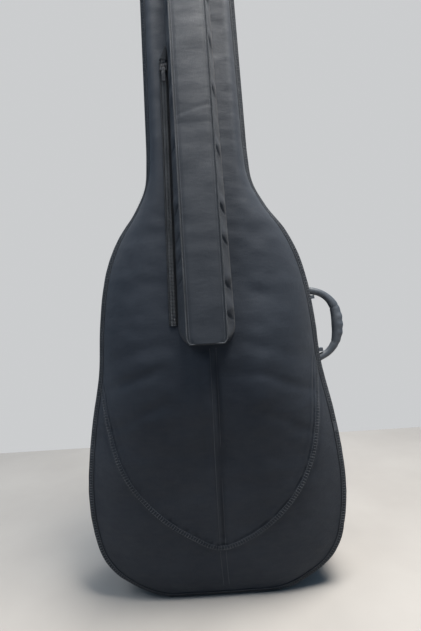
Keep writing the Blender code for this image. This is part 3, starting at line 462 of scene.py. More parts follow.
def stitch_tree():
    """Node tree that sews a row of stitches along each path."""
    tree = bpy.data.node_groups.new("Stitch rows", "GeometryNodeTree")
    face = tree.interface
    face.new_socket(name="Path", in_out="INPUT", socket_type="NodeSocketGeometry")
    for name, value in (("Spacing", 0.0034), ("Stitch length", 0.0026), ("Thread radius", 0.00035), ("Flatness", 0.8)):
        face.new_socket(name=name, in_out="INPUT", socket_type="NodeSocketFloat").default_value = value
    face.new_socket(name="Thread", in_out="INPUT", socket_type="NodeSocketMaterial")
    face.new_socket(name="Seed", in_out="INPUT", socket_type="NodeSocketInt").default_value = 4
    face.new_socket(name="Stitches", in_out="OUTPUT", socket_type="NodeSocketGeometry")
    new, join = tree.nodes.new, tree.links.new
    given, result = new("NodeGroupInput"), new("NodeGroupOutput")
    to_curve, resample = new("GeometryNodeMeshToCurve"), new("GeometryNodeResampleCurve")
    resample.mode = "LENGTH"
    join(given.outputs["Path"], to_curve.inputs[0])
    join(to_curve.outputs[0], resample.inputs["Curve"])
    join(given.outputs["Spacing"], resample.inputs["Length"])
    tangent, turn = new("GeometryNodeInputTangent"), new("FunctionNodeAlignEulerToVector")
    turn.axis = "Z"
    join(tangent.outputs[0], turn.inputs["Vector"])
    shape = new("GeometryNodeMeshUVSphere")
    shape.inputs["Segments"].default_value = 6
    shape.inputs["Rings"].default_value = 4
    shape.inputs["Radius"].default_value = 1.0
    half = new("ShaderNodeMath")
    half.operation = "MULTIPLY"
    half.inputs[1].default_value = 0.5
    join(given.outputs["Stitch length"], half.inputs[0])
    flat = new("ShaderNodeMath")
    flat.operation = "MULTIPLY"
    join(given.outputs["Thread radius"], flat.inputs[0])
    join(given.outputs["Flatness"], flat.inputs[1])
    size = new("ShaderNodeCombineXYZ")
    join(given.outputs["Thread radius"], size.inputs[0])
    join(flat.outputs[0], size.inputs[1])
    join(half.outputs[0], size.inputs[2])
    uneven = new("FunctionNodeRandomValue")
    uneven.data_type = "FLOAT_VECTOR"
    uneven.inputs[0].default_value = (0.9, 0.9, 0.86)
    uneven.inputs[1].default_value = (1.1, 1.1, 1.06)
    join(given.outputs["Seed"], uneven.inputs["Seed"])
    scaled = new("ShaderNodeVectorMath")
    scaled.operation = "MULTIPLY"
    join(size.outputs[0], scaled.inputs[0])
    join(uneven.outputs[0], scaled.inputs[1])
    place = new("GeometryNodeInstanceOnPoints")
    join(resample.outputs[0], place.inputs["Points"])
    join(shape.outputs[0], place.inputs["Instance"])
    join(turn.outputs[0], place.inputs["Rotation"])
    join(scaled.outputs[0], place.inputs["Scale"])
    real, paint = new("GeometryNodeRealizeInstances"), new("GeometryNodeSetMaterial")
    join(place.outputs[0], real.inputs[0])
    join(real.outputs[0], paint.inputs["Geometry"])
    join(given.outputs["Thread"], paint.inputs["Material"])
    join(paint.outputs[0], result.inputs[0])
    return tree


def coil_tree():
    """Node tree that lays the teeth of a zip's coil along a path, one flattened loop to each pitch."""
    tree = bpy.data.node_groups.new("Coil teeth", "GeometryNodeTree")
    face = tree.interface
    face.new_socket(name="Path", in_out="INPUT", socket_type="NodeSocketGeometry")
    for name, value in (("Pitch", COIL_PITCH), ("Tooth width", 0.0052), ("Tooth height", 0.0021), ("Wire", 0.0006)):
        face.new_socket(name=name, in_out="INPUT", socket_type="NodeSocketFloat").default_value = value
    face.new_socket(name="Out of the cloth", in_out="INPUT", socket_type="NodeSocketVector").default_value = (0, -1, 0)
    face.new_socket(name="Plastic", in_out="INPUT", socket_type="NodeSocketMaterial")
    face.new_socket(name="Teeth", in_out="OUTPUT", socket_type="NodeSocketGeometry")
    new, join = tree.nodes.new, tree.links.new
    given, result = new("NodeGroupInput"), new("NodeGroupOutput")
    to_curve, resample = new("GeometryNodeMeshToCurve"), new("GeometryNodeResampleCurve")
    resample.mode = "LENGTH"
    join(given.outputs["Path"], to_curve.inputs[0])
    join(to_curve.outputs[0], resample.inputs["Curve"])
    join(given.outputs["Pitch"], resample.inputs["Length"])
    tangent = new("GeometryNodeInputTangent")
    first, second = new("FunctionNodeAlignRotationToVector"), new("FunctionNodeAlignRotationToVector")
    first.axis = "Y"
    second.axis = "Z"
    second.pivot_axis = "Y"
    join(tangent.outputs[0], first.inputs["Vector"])
    join(first.outputs[0], second.inputs["Rotation"])
    join(given.outputs["Out of the cloth"], second.inputs["Vector"])
    circle = new("GeometryNodeCurvePrimitiveCircle")
    circle.mode = "RADIUS"
    circle.inputs["Resolution"].default_value = 10
    circle.inputs["Radius"].default_value = 0.5
    stand = new("GeometryNodeTransform")
    stand.inputs["Rotation"].default_value = (math.pi / 2, 0, 0)
    size = new("ShaderNodeCombineXYZ")
    size.inputs[1].default_value = 1.0
    join(given.outputs["Tooth width"], size.inputs[0])
    join(given.outputs["Tooth height"], size.inputs[2])
    grow = new("GeometryNodeTransform")
    join(circle.outputs[0], stand.inputs["Geometry"])
    join(stand.outputs[0], grow.inputs["Geometry"])
    join(size.outputs[0], grow.inputs["Scale"])
    wire = new("GeometryNodeCurvePrimitiveCircle")
    wire.mode = "RADIUS"
    wire.inputs["Resolution"].default_value = 5
    join(given.outputs["Wire"], wire.inputs["Radius"])
    skin = new("GeometryNodeCurveToMesh")
    join(grow.outputs[0], skin.inputs["Curve"])
    join(wire.outputs[0], skin.inputs["Profile Curve"])
    place = new("GeometryNodeInstanceOnPoints")
    join(resample.outputs[0], place.inputs["Points"])
    join(skin.outputs[0], place.inputs["Instance"])
    join(second.outputs[0], place.inputs["Rotation"])
    real, paint = new("GeometryNodeRealizeInstances"), new("GeometryNodeSetMaterial")
    join(place.outputs[0], real.inputs[0])
    join(real.outputs[0], paint.inputs["Geometry"])
    join(given.outputs["Plastic"], paint.inputs["Material"])
    join(paint.outputs[0], result.inputs[0])
    return tree


STITCH_ROWS = stitch_tree()
COIL_TEETH = coil_tree()


def grown(name, paths, tree, settings, material, body, nodes=()):
    """Runs a node tree along paths and keeps what it makes as a plain mesh."""
    source = polyline(name + "_path", paths)
    bpy.context.scene.collection.objects.link(source)
    growth = source.modifiers.new("Growth", "NODES")
    growth.node_group = tree
    sockets = {item.name: item.identifier for item in tree.interface.items_tree if item.in_out == "INPUT"}
    for key, value in settings.items():
        growth[sockets[key]] = value
    scene_graph = bpy.context.evaluated_depsgraph_get()
    mesh = bpy.data.meshes.new_from_object(source.evaluated_get(scene_graph))
    bpy.data.objects.remove(source, do_unlink=True)
    form = bmesh.new()
    form.from_mesh(mesh)
    bmesh.ops.recalc_face_normals(form, faces=form.faces)
    form.to_mesh(mesh)
    form.free()
    return finish_piece(name, mesh, material, body, nodes)


def stitches(name, paths, body, spacing=0.0034, length=0.0026, radius=0.00035, across=None):
    settings = {"Spacing": spacing, "Stitch length": length, "Thread radius": radius, "Thread": THREAD}
    piece = grown(name, paths, STITCH_ROWS, settings, THREAD, None if across else body)
    if across:
        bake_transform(piece)
    return piece


def cover_stitch(name, paths, across=None, body=None, out=(0, -1, 0), width=0.0078):
    """The ladder of thread that a cover stitch leaves between its two rows."""
    settings = {"Pitch": 0.0052, "Tooth width": width, "Tooth height": 0.0013, "Wire": 0.00048,
                "Out of the cloth": out, "Plastic": THREAD}
    piece = grown(name, paths, COIL_TEETH, settings, THREAD, body)
    if across:
        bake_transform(piece)


def coil(name, paths, body, out, nodes, width=0.0052, height=0.0021):
    settings = {"Tooth width": width, "Tooth height": height, "Out of the cloth": out, "Plastic": COIL}
    return grown(name, paths, COIL_TEETH, settings, COIL, body, nodes)


# The front


U_LINE = np.array([tuple(p) for p in curve_through(U_SEAM, (-0.216, 0.470), (0.216, 0.500), 12)])
SEAM_X = lambda z: np.interp(z, [p[1] for p in CENTRE_SEAM], [p[0] for p in CENTRE_SEAM])


def distance_to_u(x, z):
    """How far a point is from the U seam: positive above it, towards the pocket."""
    flat_x, flat_z = np.ravel(x), np.ravel(z)
    best = np.full(flat_x.shape, 9.0)
    for point in U_LINE:
        best = np.minimum(best, (flat_x - point[0]) ** 2 + (flat_z - point[1]) ** 2)
    seam_z = np.interp(flat_x, U_LINE[:, 0], U_LINE[:, 1])
    above = np.where((flat_z > seam_z) & (np.abs(flat_x) < 0.2150), 1.0, -1.0)
    return (np.sqrt(best) * above).reshape(np.shape(x))


def front_relief(x, z):
    """How far the cloth stands out of the plain form: seams, puffed lobes, folds and soft dents."""
    off = x - SEAM_X(z)
    seam_on = smooth_step((z - 0.02) / 0.03) * smooth_step((0.492 - z) / 0.03)
    upper = smooth_step((z - 0.112) / 0.03)
    relief = -0.0012 * bump_at(off, 0.0, 0.0026) * seam_on
    relief -= 0.0052 * bump_at(off, 0.0014, 0.0036) * seam_on * upper
    relief += 0.0030 * bump_at(off, -0.0085, 0.0068) * seam_on * upper
    hollow = smooth_step((z - 0.150) / 0.200) * smooth_step((0.506 - z) / 0.075)
    right_of_seam = smooth_step((off + 0.001) / 0.005)
    relief -= 0.0072 * hollow * right_of_seam * bump_at(off, 0.0, 0.034 + 0.13 * np.maximum(0.42 - z, 0.0))
    lobes = bump_at(z, 0.405, 0.072)
    relief += lobes * 0.0088 * (bump_at(off, -0.032, 0.026) + bump_at(off, 0.078, 0.030))
    relief -= 0.0050 * bump_at(z, 0.492, 0.030) * bump_at(off, 0.0, 0.034)
    from_u = distance_to_u(x, z)
    relief += 0.0014 * smooth_step(-from_u / 0.0015) * smooth_step((from_u + 0.0125) / 0.0015)
    relief -= 0.0026 * bump_at(from_u, 0.0016, 0.0018)
    relief += 0.0018 * bump_at(from_u, 0.0062, 0.0032)
    relief -= 0.0012 * bump_at(from_u, -0.0145, 0.0024)
    span = np.abs(x) / np.maximum(inset_half(z, PANEL_INSET), 0.01)
    for side, height, tilt, size, strength in (
        (-1, 0.455, 0.35, 0.010, 0.0030), (-1, 0.495, 0.25, 0.013, 0.0022), (-1, 0.395, 0.50, 0.011, 0.0026),
        (1, 0.440, 0.45, 0.010, 0.0030), (1, 0.485, 0.28, 0.014, 0.0026), (1, 0.375, 0.55, 0.011, 0.0022),
        (-1, 0.600, 0.10, 0.016, 0.0016), (1, 0.575, 0.12, 0.018, 0.0018), (1, 0.680, -0.25, 0.016, 0.0020),
        (-1, 0.690, -0.22, 0.017, 0.0018), (-1, 0.760, -0.60, 0.013, 0.0016), (1, 0.765, -0.55, 0.013, 0.0016),
    ):
        reach = np.maximum(side * x - 0.085, 0.0)
        where = height - tilt * reach
        shape = np.where(side * x > 0.03, smooth_step((side * x - 0.05) / 0.05), 0.0)
        relief -= strength * bump_at(z, where, size) * shape * smooth_step((1.0 - span) / 0.22)
    for height, tilt, size, strength in ((0.230, 0.12, 0.016, 0.0012), (0.300, -0.08, 0.018, 0.0014), (0.360, 0.2, 0.015, 0.0012)):
        relief -= strength * bump_at(z, height + tilt * x, size)
    relief += 0.0011 * ripple(x, z * 0.7, 0.085, 11) + 0.0006 * ripple(x, z, 0.032, 12)
    relief += 0.0016 * ripple(x * 0.5, z, 0.16, 13)
    pinned = smooth_step((1.0 - span) / 0.10) * smooth_step(z / 0.02) * smooth_step((LENGTH - z) / 0.02)
    return relief * (0.10 + 0.90 * pinned)


def front_skin(x, z):
    return front_y(x, z) - front_relief(x, z) * 0.95


ACROSS_FOLD = ("case", "lid", (0.0, 0.0, FOLD - 0.010 + BASE_LIFT), (0.0, 0.0, FOLD + 0.010 + BASE_LIFT))


def edge_heights(low, high, spacing, inset=PANEL_INSET):
    start, end = np.interp([low, high], EDGE_Z, EDGE_RUN)
    count = max(2, round((end - start) / spacing))
    return np.interp(np.linspace(start, end, count + 1), EDGE_RUN, EDGE_Z)


def on_front(line):
    """The part of a line of x and z that lies inside the edge binding."""
    inside = np.abs(line[:, 0]) < inset_half(line[:, 1], 0.0135)
    return line[inside & (line[:, 1] < 0.470) & (line[:, 1] > 0.0)]


def make_front():
    """The padded front in one sheet."""
    z = edge_heights(PANEL_INSET, LENGTH - 0.0002, 0.0058)
    z = np.clip(z, PANEL_INSET, LENGTH - PANEL_INSET)
    z = np.unique(np.round(z, 6))
    s = np.sin(np.linspace(-1, 1, 121) * math.pi / 2 * 0.86) / math.sin(math.pi / 2 * 0.86)
    half = inset_half(z, PANEL_INSET)
    x = half[:, None] * s[None, :]
    grid_z = np.repeat(z[:, None], len(s), axis=1)
    points = np.stack([x, front_skin(x, grid_z), grid_z], axis=2)
    mesh = closed_sheet("front_cloth", in_place(points), FRONT_SHEET)
    piece = finish_piece(
        "front_cloth", mesh, NYLON, None,
        ("front_left", "front_right", "front_left_lower", "front_right_lower", "lower_patch"),
    )
    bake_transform(piece)

    rows = []
    tangent = np.gradient(U_LINE, axis=0)
    tangent /= np.linalg.norm(tangent, axis=1)[:, None]
    inward = np.stack([-tangent[:, 1], tangent[:, 0]], axis=1)
    for offset in (-0.0020, -0.0100):
        line = U_LINE + inward * offset
        line = on_front(line)
        y = front_skin(line[:, 0], line[:, 1]) - 0.0001
        rows.append(in_place(np.stack([line[:, 0], y, line[:, 1]], axis=1)))
    for offset in (0.0050, -0.0055):
        z_line = np.linspace(0.030, 0.486, 200)
        x_line = SEAM_X(z_line) + offset
        y = front_skin(x_line, z_line) - 0.0001
        rows.append(in_place(np.stack([x_line, y, z_line], axis=1)))
    stitches("front_stitching", rows, None, spacing=0.0044, length=0.0034, radius=0.0005, across=ACROSS_FOLD)
    line = on_front(U_LINE - inward * 0.0060)
    y = front_skin(line[:, 0], line[:, 1]) - 0.0002
    cover_stitch("seam_cover_stitch", [in_place(np.stack([line[:, 0], y, line[:, 1]], axis=1))], ACROSS_FOLD)


def edge_path(low, high, spacing, both=True):
    """The edge's points and outward directions, up the right side, over the top and down the left."""
    z = edge_heights(low, high, spacing)
    x = np.interp(z, EDGE_Z, EDGE_X)
    out = np.stack([np.interp(z, EDGE_Z, NORMAL_X), np.interp(z, EDGE_Z, NORMAL_Z)], axis=1)
    out /= np.linalg.norm(out, axis=1)[:, None]
    right = np.stack([x, z, out[:, 0], out[:, 1]], axis=1)
    if not both:
        return right
    left = right[::-1] * np.array([-1, 1, -1, 1])
    return np.concatenate([right, left])


def full_loop(spacing):
    """Round the whole edge, with the flat base and the flat top filled in."""
    side = edge_path(0.0, LENGTH, spacing)
    top = np.linspace(0.030, -0.030, 9)[1:-1]
    cap = np.stack([top, np.full_like(top, LENGTH), np.zeros_like(top), np.ones_like(top)], axis=1)
    half = len(side) // 2
    low = np.linspace(-0.100, 0.100, 27)[1:-1]
    base = np.stack([low, np.zeros_like(low), np.zeros_like(low), -np.ones_like(low)], axis=1)
    return np.concatenate([side[:half], cap, side[half:], base])


def inset_xz(path, inset):
    return path[:, 0] - path[:, 2] * inset, path[:, 1] - path[:, 3] * inset


def binding_rings(path, front, bulge):
    """Rings of the folded tape that covers an edge: flat on the side wall and on the panel."""
    rings = []
    lift = BASE_LIFT * 0.5
    grow = np.interp(np.arange(len(path)), [0, 1], [1, 1]) * 0.0004 * ripple(path[:, 0], path[:, 1], 0.03, 21)
    for inset, skin, proud in (
        (0.0052, None, 0.0112), (0.0012, None, 0.0115), (0.0002, None, 0.0100), (-0.0004, None, 0.0056),
        (-0.0002, None, 0.0014), (0.0004, None, -0.0006), (0.0022, 0.0022, 0.0), (0.0060, 0.0052, 0.0),
        (0.0108, 0.0085, 0.0), (0.0124, 0.0100, 0.0), (0.0124, 0.0100, -0.0022), (0.0050, 0.0050, -0.0030),
    ):
        x, z = inset_xz(path, inset - (grow if 0 <= inset < 0.002 else 0))
        z = np.maximum(z, 0.0002 - lift)
        if skin is None:
            y = np.full_like(x, proud) if front else depth_at(path[:, 1]) - proud
        else:
            rise = bulge * (1.0 if skin < 0.009 else 0.55)
            if front:
                y = front_skin(x, z) - rise - proud
                y = np.minimum(y, -0.0016) if proud == 0 else y
            else:
                y = back_skin(x, z) + rise + proud
        rings.append(np.stack([x, y, z], axis=1))
    return in_place(np.stack(rings, axis=1))


def make_bindings():
    path = full_loop(0.0060)
    mesh = swept("front_binding", list(binding_rings(path, True, 0.0016)), closed=True)
    piece = finish_piece(
        "front_binding", mesh, BINDING, None, ("binding_front_upper", "binding_front_lower")
    )
    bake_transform(piece)
    mesh = swept("back_binding", list(binding_rings(path, False, 0.0014)), closed=True)
    finish_piece("back_binding", mesh, BINDING, "case", ("binding_back",))

    dense = full_loop(0.0030)
    dense = np.concatenate([dense, dense[:1]])
    front_rows, back_rows = [], []
    for inset in (0.0026, 0.0102):
        x, z = inset_xz(dense, inset)
        z = np.maximum(z, 0.0008)
        front_rows.append(in_place(np.stack([x, np.minimum(front_skin(x, z) - 0.0018, -0.0018), z], axis=1)))
        back_rows.append(in_place(np.stack([x, back_skin(x, z) + 0.0016, z], axis=1)))
    x, z = inset_xz(dense, -0.0002)
    keep = dense[:, 1] > 0.004
    side = in_place(np.stack([x, np.full_like(x, 0.0080), z], axis=1))
    front_rows.append(side[keep])
    stitches("front_binding_stitching", front_rows, None, spacing=0.0044, length=0.0034, radius=0.0005,
             across=ACROSS_FOLD)
    x, z = inset_xz(dense, 0.0066)
    ladder = in_place(np.stack([x, np.minimum(front_skin(x, z) - 0.0019, -0.0018), z], axis=1))
    cover_stitch("front_binding_cover_stitch", [ladder[dense[:, 1] > 0.001]], ACROSS_FOLD, width=0.0068)
    side = in_place(np.stack([x, depth_at(dense[:, 1]) - 0.0085, z], axis=1))
    back_rows.append(side[keep])
    stitches("back_binding_stitching", back_rows, "case", spacing=0.0036)

    z_tack = np.linspace(0.306, 0.322, 12)
    rows = []
    for k in range(7):
        wave = np.stack([
            inset_half(z_tack, 0.0026 + k * 0.0011),
            front_skin(inset_half(z_tack, 0.0026 + k * 0.0011), z_tack) - 0.0021,
            z_tack,
        ], axis=1)
        rows.append(in_place(wave))
    stitches("binding_bartack", rows, "case", spacing=0.0013, length=0.0024, radius=0.0007)


# Side walls, back and zip


def back_relief(x, z):
    span = np.abs(x) / np.maximum(inset_half(z, PANEL_INSET), 0.01)
    relief = 0.0013 * ripple(x, z * 0.8, 0.11, 31) + 0.0006 * ripple(x, z, 0.040, 32)
    for height, tilt, size, strength in (
        (0.735, 0.10, 0.012, 0.0030), (0.775, -0.08, 0.010, 0.0024), (0.850, 0.05, 0.012, 0.0020), (0.30, 0.2, 0.02, 0.0012),
    ):
        relief -= strength * bump_at(z, height + tilt * x, size)
    pinned = smooth_step((1.0 - span) / 0.12) * smooth_step(z / 0.03) * smooth_step((LENGTH - z) / 0.03)
    under_patches = 1 - 0.85 * bump_at(z, 1.165, 0.085) * bump_at(x, 0.0, 0.04)
    return relief * pinned * under_patches


def back_skin(x, z):
    return back_y(x, z) + back_relief(x, z) - 0.0006


def make_back():
    z = np.unique(np.round(np.clip(edge_heights(0.0, LENGTH, 0.0085), PANEL_INSET, LENGTH - PANEL_INSET), 6))
    s = np.linspace(1, -1, 81)
    x = inset_half(z, PANEL_INSET)[:, None] * s[None, :]
    grid_z = np.repeat(z[:, None], len(s), axis=1)
    points = np.stack([x, back_skin(x, grid_z), grid_z], axis=2)
    mesh = closed_sheet("back_cloth", in_place(points), 0.0068)
    finish_piece("back_cloth", mesh, SIDE_NYLON, "case", ("back_panel",))


def wall_sheet(name, path, y_low, y_high, inset, thickness, material, body, nodes, columns=15, wave=0.0011):
    """A wall that follows the edge, between two depths given for each point of its path."""
    share = np.linspace(0, 1, columns)
    y = y_low[:, None] + (y_high - y_low)[:, None] * share[None, :]
    along = np.concatenate([[0.0], np.cumsum(np.hypot(np.diff(path[:, 0]), np.diff(path[:, 1])))])
    run = np.repeat(along[:, None], columns, axis=1)
    puff = wave * (ripple(run, y, 0.09, 41) + 0.6 * ripple(run, y * 0.4, 0.035, 42)) - wave * 1.2
    puff = puff * (np.sin(math.pi * np.clip(share, 0.0, 1.0)) ** 0.6)[None, :]
    x = path[:, 0][:, None] + path[:, 2][:, None] * (puff - inset)
    z = path[:, 1][:, None] + path[:, 3][:, None] * (puff - inset)
    z = np.maximum(z, 0.0009)
    points = in_place(np.stack([x, y, z], axis=2))
    return finish_piece(name, closed_sheet(name, points, thickness), material, body, nodes)


def upper_path(spacing, low=FOLD):
    path = edge_path(low, LENGTH, spacing)
    half = len(path) // 2
    top = np.linspace(0.030, -0.030, 9)[1:-1]
    cap = np.stack([top, np.full_like(top, LENGTH), np.zeros_like(top), np.ones_like(top)], axis=1)
    return np.concatenate([path[:half], cap, path[half:]])


def make_walls():
    path = upper_path(0.0075)
    low = np.full(len(path), 0.0366)
    wall_sheet(
        "side_wall_upper", path, low, depth_at(path[:, 1]) - 0.0020, 0.0036, 0.0055, SIDE_NYLON, "case",
        ("gusset_left", "gusset_right"),
    )
    lower = edge_path(0.0, FOLD, 0.0075)
    half = len(lower) // 2
    run = np.linspace(-0.100, 0.100, 25)[1:-1]
    base = np.stack([run, np.zeros_like(run), np.zeros_like(run), -np.ones_like(run)], axis=1)
    path = np.concatenate([lower[half:], base, lower[:half]])
    low = np.full(len(path), 0.0016)
    wall_sheet(
        "side_wall_lower", path, low, depth_at(path[:, 1]) - 0.0020, 0.0036, 0.0055, SIDE_NYLON, "case",
        ("gusset_lower",),
    )

    path = upper_path(0.0060)
    ones = np.ones(len(path))
    wall_sheet("lid_strip", path, ones * 0.0016, ones * 0.0158, 0.0036, 0.0026, BINDING, "lid",
               ("front_strip",), columns=5, wave=0.0002)
    wall_sheet("lid_zip_tape", path, ones * 0.0145, ones * 0.0238, 0.0068, 0.0011, ZIP_TAPE, "lid",
               ("zip_tape_front",), columns=4, wave=0.0)
    wall_sheet("case_zip_tape", path, ones * 0.0250, ones * 0.0362, 0.0068, 0.0011, ZIP_TAPE, "case",
               ("zip_tape_rear",), columns=4, wave=0.0)
    fine = upper_path(0.0024, low=FOLD + 0.012)
    for body, middle, node in (("lid", 0.0221, "zip_coil_front"), ("case", 0.0267, "zip_coil_rear")):
        x, z = inset_xz(fine, 0.0057)
        line = in_place(np.stack([x, np.full_like(x, middle), z], axis=1))
        coil(body + "_zip_teeth", [line], body, (0, -1, 0), (node,), width=0.0019, height=0.0036)
    dense = upper_path(0.0030)
    x, z = inset_xz(dense, 0.0034)
    seam = in_place(np.stack([x, np.full_like(x, 0.0390), z], axis=1))
    x, z = inset_xz(dense, 0.0066)
    tape = in_place(np.stack([x, np.full_like(x, 0.0330), z], axis=1))
    stitches("side_wall_stitching", [seam, tape], "case", spacing=0.0036)
    for name in ("zip_end_left", "zip_end_right"):
        give_finish(name, BINDING)


def give_finish(node, material):
    """A carried-over solid keeps its shape and takes a detailed finish."""
    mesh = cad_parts[node].data
    mesh.materials.clear()
    mesh.materials.append(material)


# Bow pocket


LEFT_FOLDS = ((1.190, 0.0034), (1.105, 0.0040), (1.022, 0.0044), (0.965, 0.0042), (0.921, 0.0036),
              (0.842, 0.0050), (0.727, 0.0066), (0.678, 0.0050), (0.641, 0.0044), (0.604, 0.0038))
RIGHT_FOLDS = ((1.200, 0.0030), (1.120, 0.0036), (1.030, 0.0034), (0.938, 0.0040), (0.826, 0.0044),
               (0.724, 0.0060), (0.668, 0.0048), (0.592, 0.0050), (0.541, 0.0046))
FOLD_NOTCH, FOLD_SWELL = 0.0024, 0.0130


def face_y(z):
    return front_y(np.zeros_like(z), z) - POCKET_DEPTH


def pocket_base(z):
    """Half width of the pocket where its side walls meet the front."""
    zip_x = np.interp(z, [POCKET_ZIP[0][1], POCKET_ZIP[1][1]], [-POCKET_ZIP[0][0], -POCKET_ZIP[1][0]])
    spread = np.sqrt(1 - (1 - np.clip((z - POCKET_BOTTOM) / 0.032, 0.0, 1.0)) ** 2)
    narrow = POCKET_HALF - 0.004
    return narrow + (zip_x - 0.0078 - narrow) * spread


def pocket_corner(z):
    """How much the face narrows at its rounded lower corners."""
    low = np.clip((POCKET_BOTTOM + 0.014 - z) / 0.014, 0, 1)
    high = np.clip((z - POCKET_TOP + 0.010) / 0.010, 0, 1)
    return 0.0075 * (1 - np.sqrt(np.maximum(0, 1 - low**2))) + 0.006 * (1 - np.sqrt(np.maximum(0, 1 - high**2)))


def make_pocket():
    z = np.linspace(POCKET_BOTTOM + 0.0006, POCKET_TOP - 0.0006, 480)
    narrow = pocket_corner(z)
    base, top = pocket_base(z), POCKET_HALF - narrow
    columns = []
    walls = np.linspace(0, 1, 15)
    faces = np.linspace(0, 1, 25)
    foot_y, head_y = front_skin(np.zeros_like(z) + 0.06, z) * 0 + front_y(np.zeros_like(z), z) - 0.0012, face_y(z)
    for side, folds in ((-1, LEFT_FOLDS), (1, RIGHT_FOLDS)):
        group = []
        for u in walls:
            x = side * (base + (top - base) * u)
            y = foot_y + (head_y - foot_y) * u
            give = math.sin(math.pi * u) ** 0.8
            out = np.zeros_like(z)
            for height, strength in folds:
                opening = 0.25 + 0.75 * u
                out -= strength * 0.75 * opening * bump_at(z, height + 0.016 * (u - 0.6), FOLD_NOTCH)
                out += strength * 0.55 * bump_at(z, height + FOLD_SWELL, FOLD_SWELL * 0.8)
                out -= strength * 0.30 * bump_at(z, height - FOLD_SWELL, FOLD_SWELL * 0.8)
            out += 0.0010 * ripple(z, np.full_like(z, u * 0.02 * side), 0.045, 51 + side)
            away = np.stack([np.full_like(z, side * 0.93), np.full_like(z, -0.36)], axis=1)
            group.append(np.stack([x + away[:, 0] * out * give, y + away[:, 1] * out * give * 0.6, z], axis=1))
        columns.append(group)
    face = []
    for u in faces[1:-1]:
        x = top * (2 * u - 1)
        crown = 0.0030 * math.sin(math.pi * u) ** 0.7
        dents = 0.0009 * ripple(x, z, 0.07, 57) + 0.0004 * ripple(x * 0.3, z, 0.034, 58)
        crease = 0.0004 * bump_at(z, 0.888 + 0.02 * u, 0.004) + 0.0003 * bump_at(z, 0.874, 0.004)
        seam_dip = 0.0016 * (bump_at(u, 0.06, 0.035) + bump_at(u, 0.94, 0.035))
        edge = min(1.0, 8 * u, 8 * (1 - u))
        face.append(np.stack([x, head_y - crown - (dents - crease) * edge + seam_dip, z], axis=1))
    rows = columns[0] + face + columns[1][::-1]
    points = np.stack(rows, axis=1)
    mesh = closed_sheet("pocket_cloth", in_place(points), 0.0022)
    # The pocket's face and side walls wear the front nylon painted lighter, as painted light.
    piece = finish_piece(
        "pocket_cloth", mesh, POCKET_NYLON_PAINTED_LIGHT, None, ("pocket_face", "pocket_gusset_left", "pocket_gusset_right")
    )
    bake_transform(piece)
    for name, height, up in (("pocket_end_bottom", POCKET_BOTTOM, -1), ("pocket_end_top", POCKET_TOP, 1)):
        make_pocket_end(name, height, up)

    z = np.linspace(POCKET_BOTTOM + 0.001, POCKET_TOP - 0.002, 260)
    narrow = pocket_corner(z)
    sides = []
    for side in (-1, 1):
        x = side * (POCKET_HALF - narrow + 0.0001)
        sides.append(np.stack([x, face_y(z) - 0.0004, z], axis=1))
    left, right = sides
    bottom_x = np.linspace(left[0][0], right[0][0], 24)[1:-1]
    bottom = np.stack([bottom_x, np.full_like(bottom_x, face_y(np.array([POCKET_BOTTOM]))[0] - 0.0006),
                       np.full_like(bottom_x, POCKET_BOTTOM + 0.0008)], axis=1)
    path = in_place(np.concatenate([left[::-1], bottom, right]))
    mesh = tube_along("pocket_edge_piping", path, 0.0026, 0.0026, (0.0, -1.0, 0.12), around=8)
    finish_piece("pocket_edge_piping", mesh, PIPING, "pocket_flap", ("pocket_piping",))
    rows = []
    for side in (-1, 1):
        x = side * (POCKET_HALF - narrow - 0.0042)
        rows.append(in_place(np.stack([x, face_y(z) - 0.0012 - 0.0008, z], axis=1)))
    stitches("pocket_face_stitching", rows, "pocket_flap", spacing=0.0038)
    make_pocket_zip()


def make_pocket_end(name, height, up):
    """The short wall across an end of the pocket, slightly sunk like slack cloth."""
    columns, rows = 21, 9
    grid = np.zeros((rows, columns, 3))
    inner = height - up * 0.0006
    base = float(pocket_base(np.array([height]))[0]) - 0.0030
    for i, v in enumerate(np.linspace(0, 1, rows)):
        half = base + (POCKET_HALF - 0.0080 - base) * v
        y_foot = float(front_y(0.0, inner)) - 0.0010
        y = y_foot + (float(face_y(np.array([inner]))[0]) + 0.0032 - y_foot) * v
        for j, u in enumerate(np.linspace(-1, 1, columns)):
            sink = 0.0022 * (1 - u * u) * math.sin(math.pi * v) + 0.0007 * math.sin(9 * u + 4 * v)
            grid[i, j] = (half * u * -up, y, inner - up * max(0.0, sink))
    mesh = closed_sheet(name, in_place(grid), 0.0022)
    node = "pocket_gusset_bottom" if up < 0 else "pocket_gusset_top"
    finish_piece(name, mesh, NYLON, "lid", (node,))


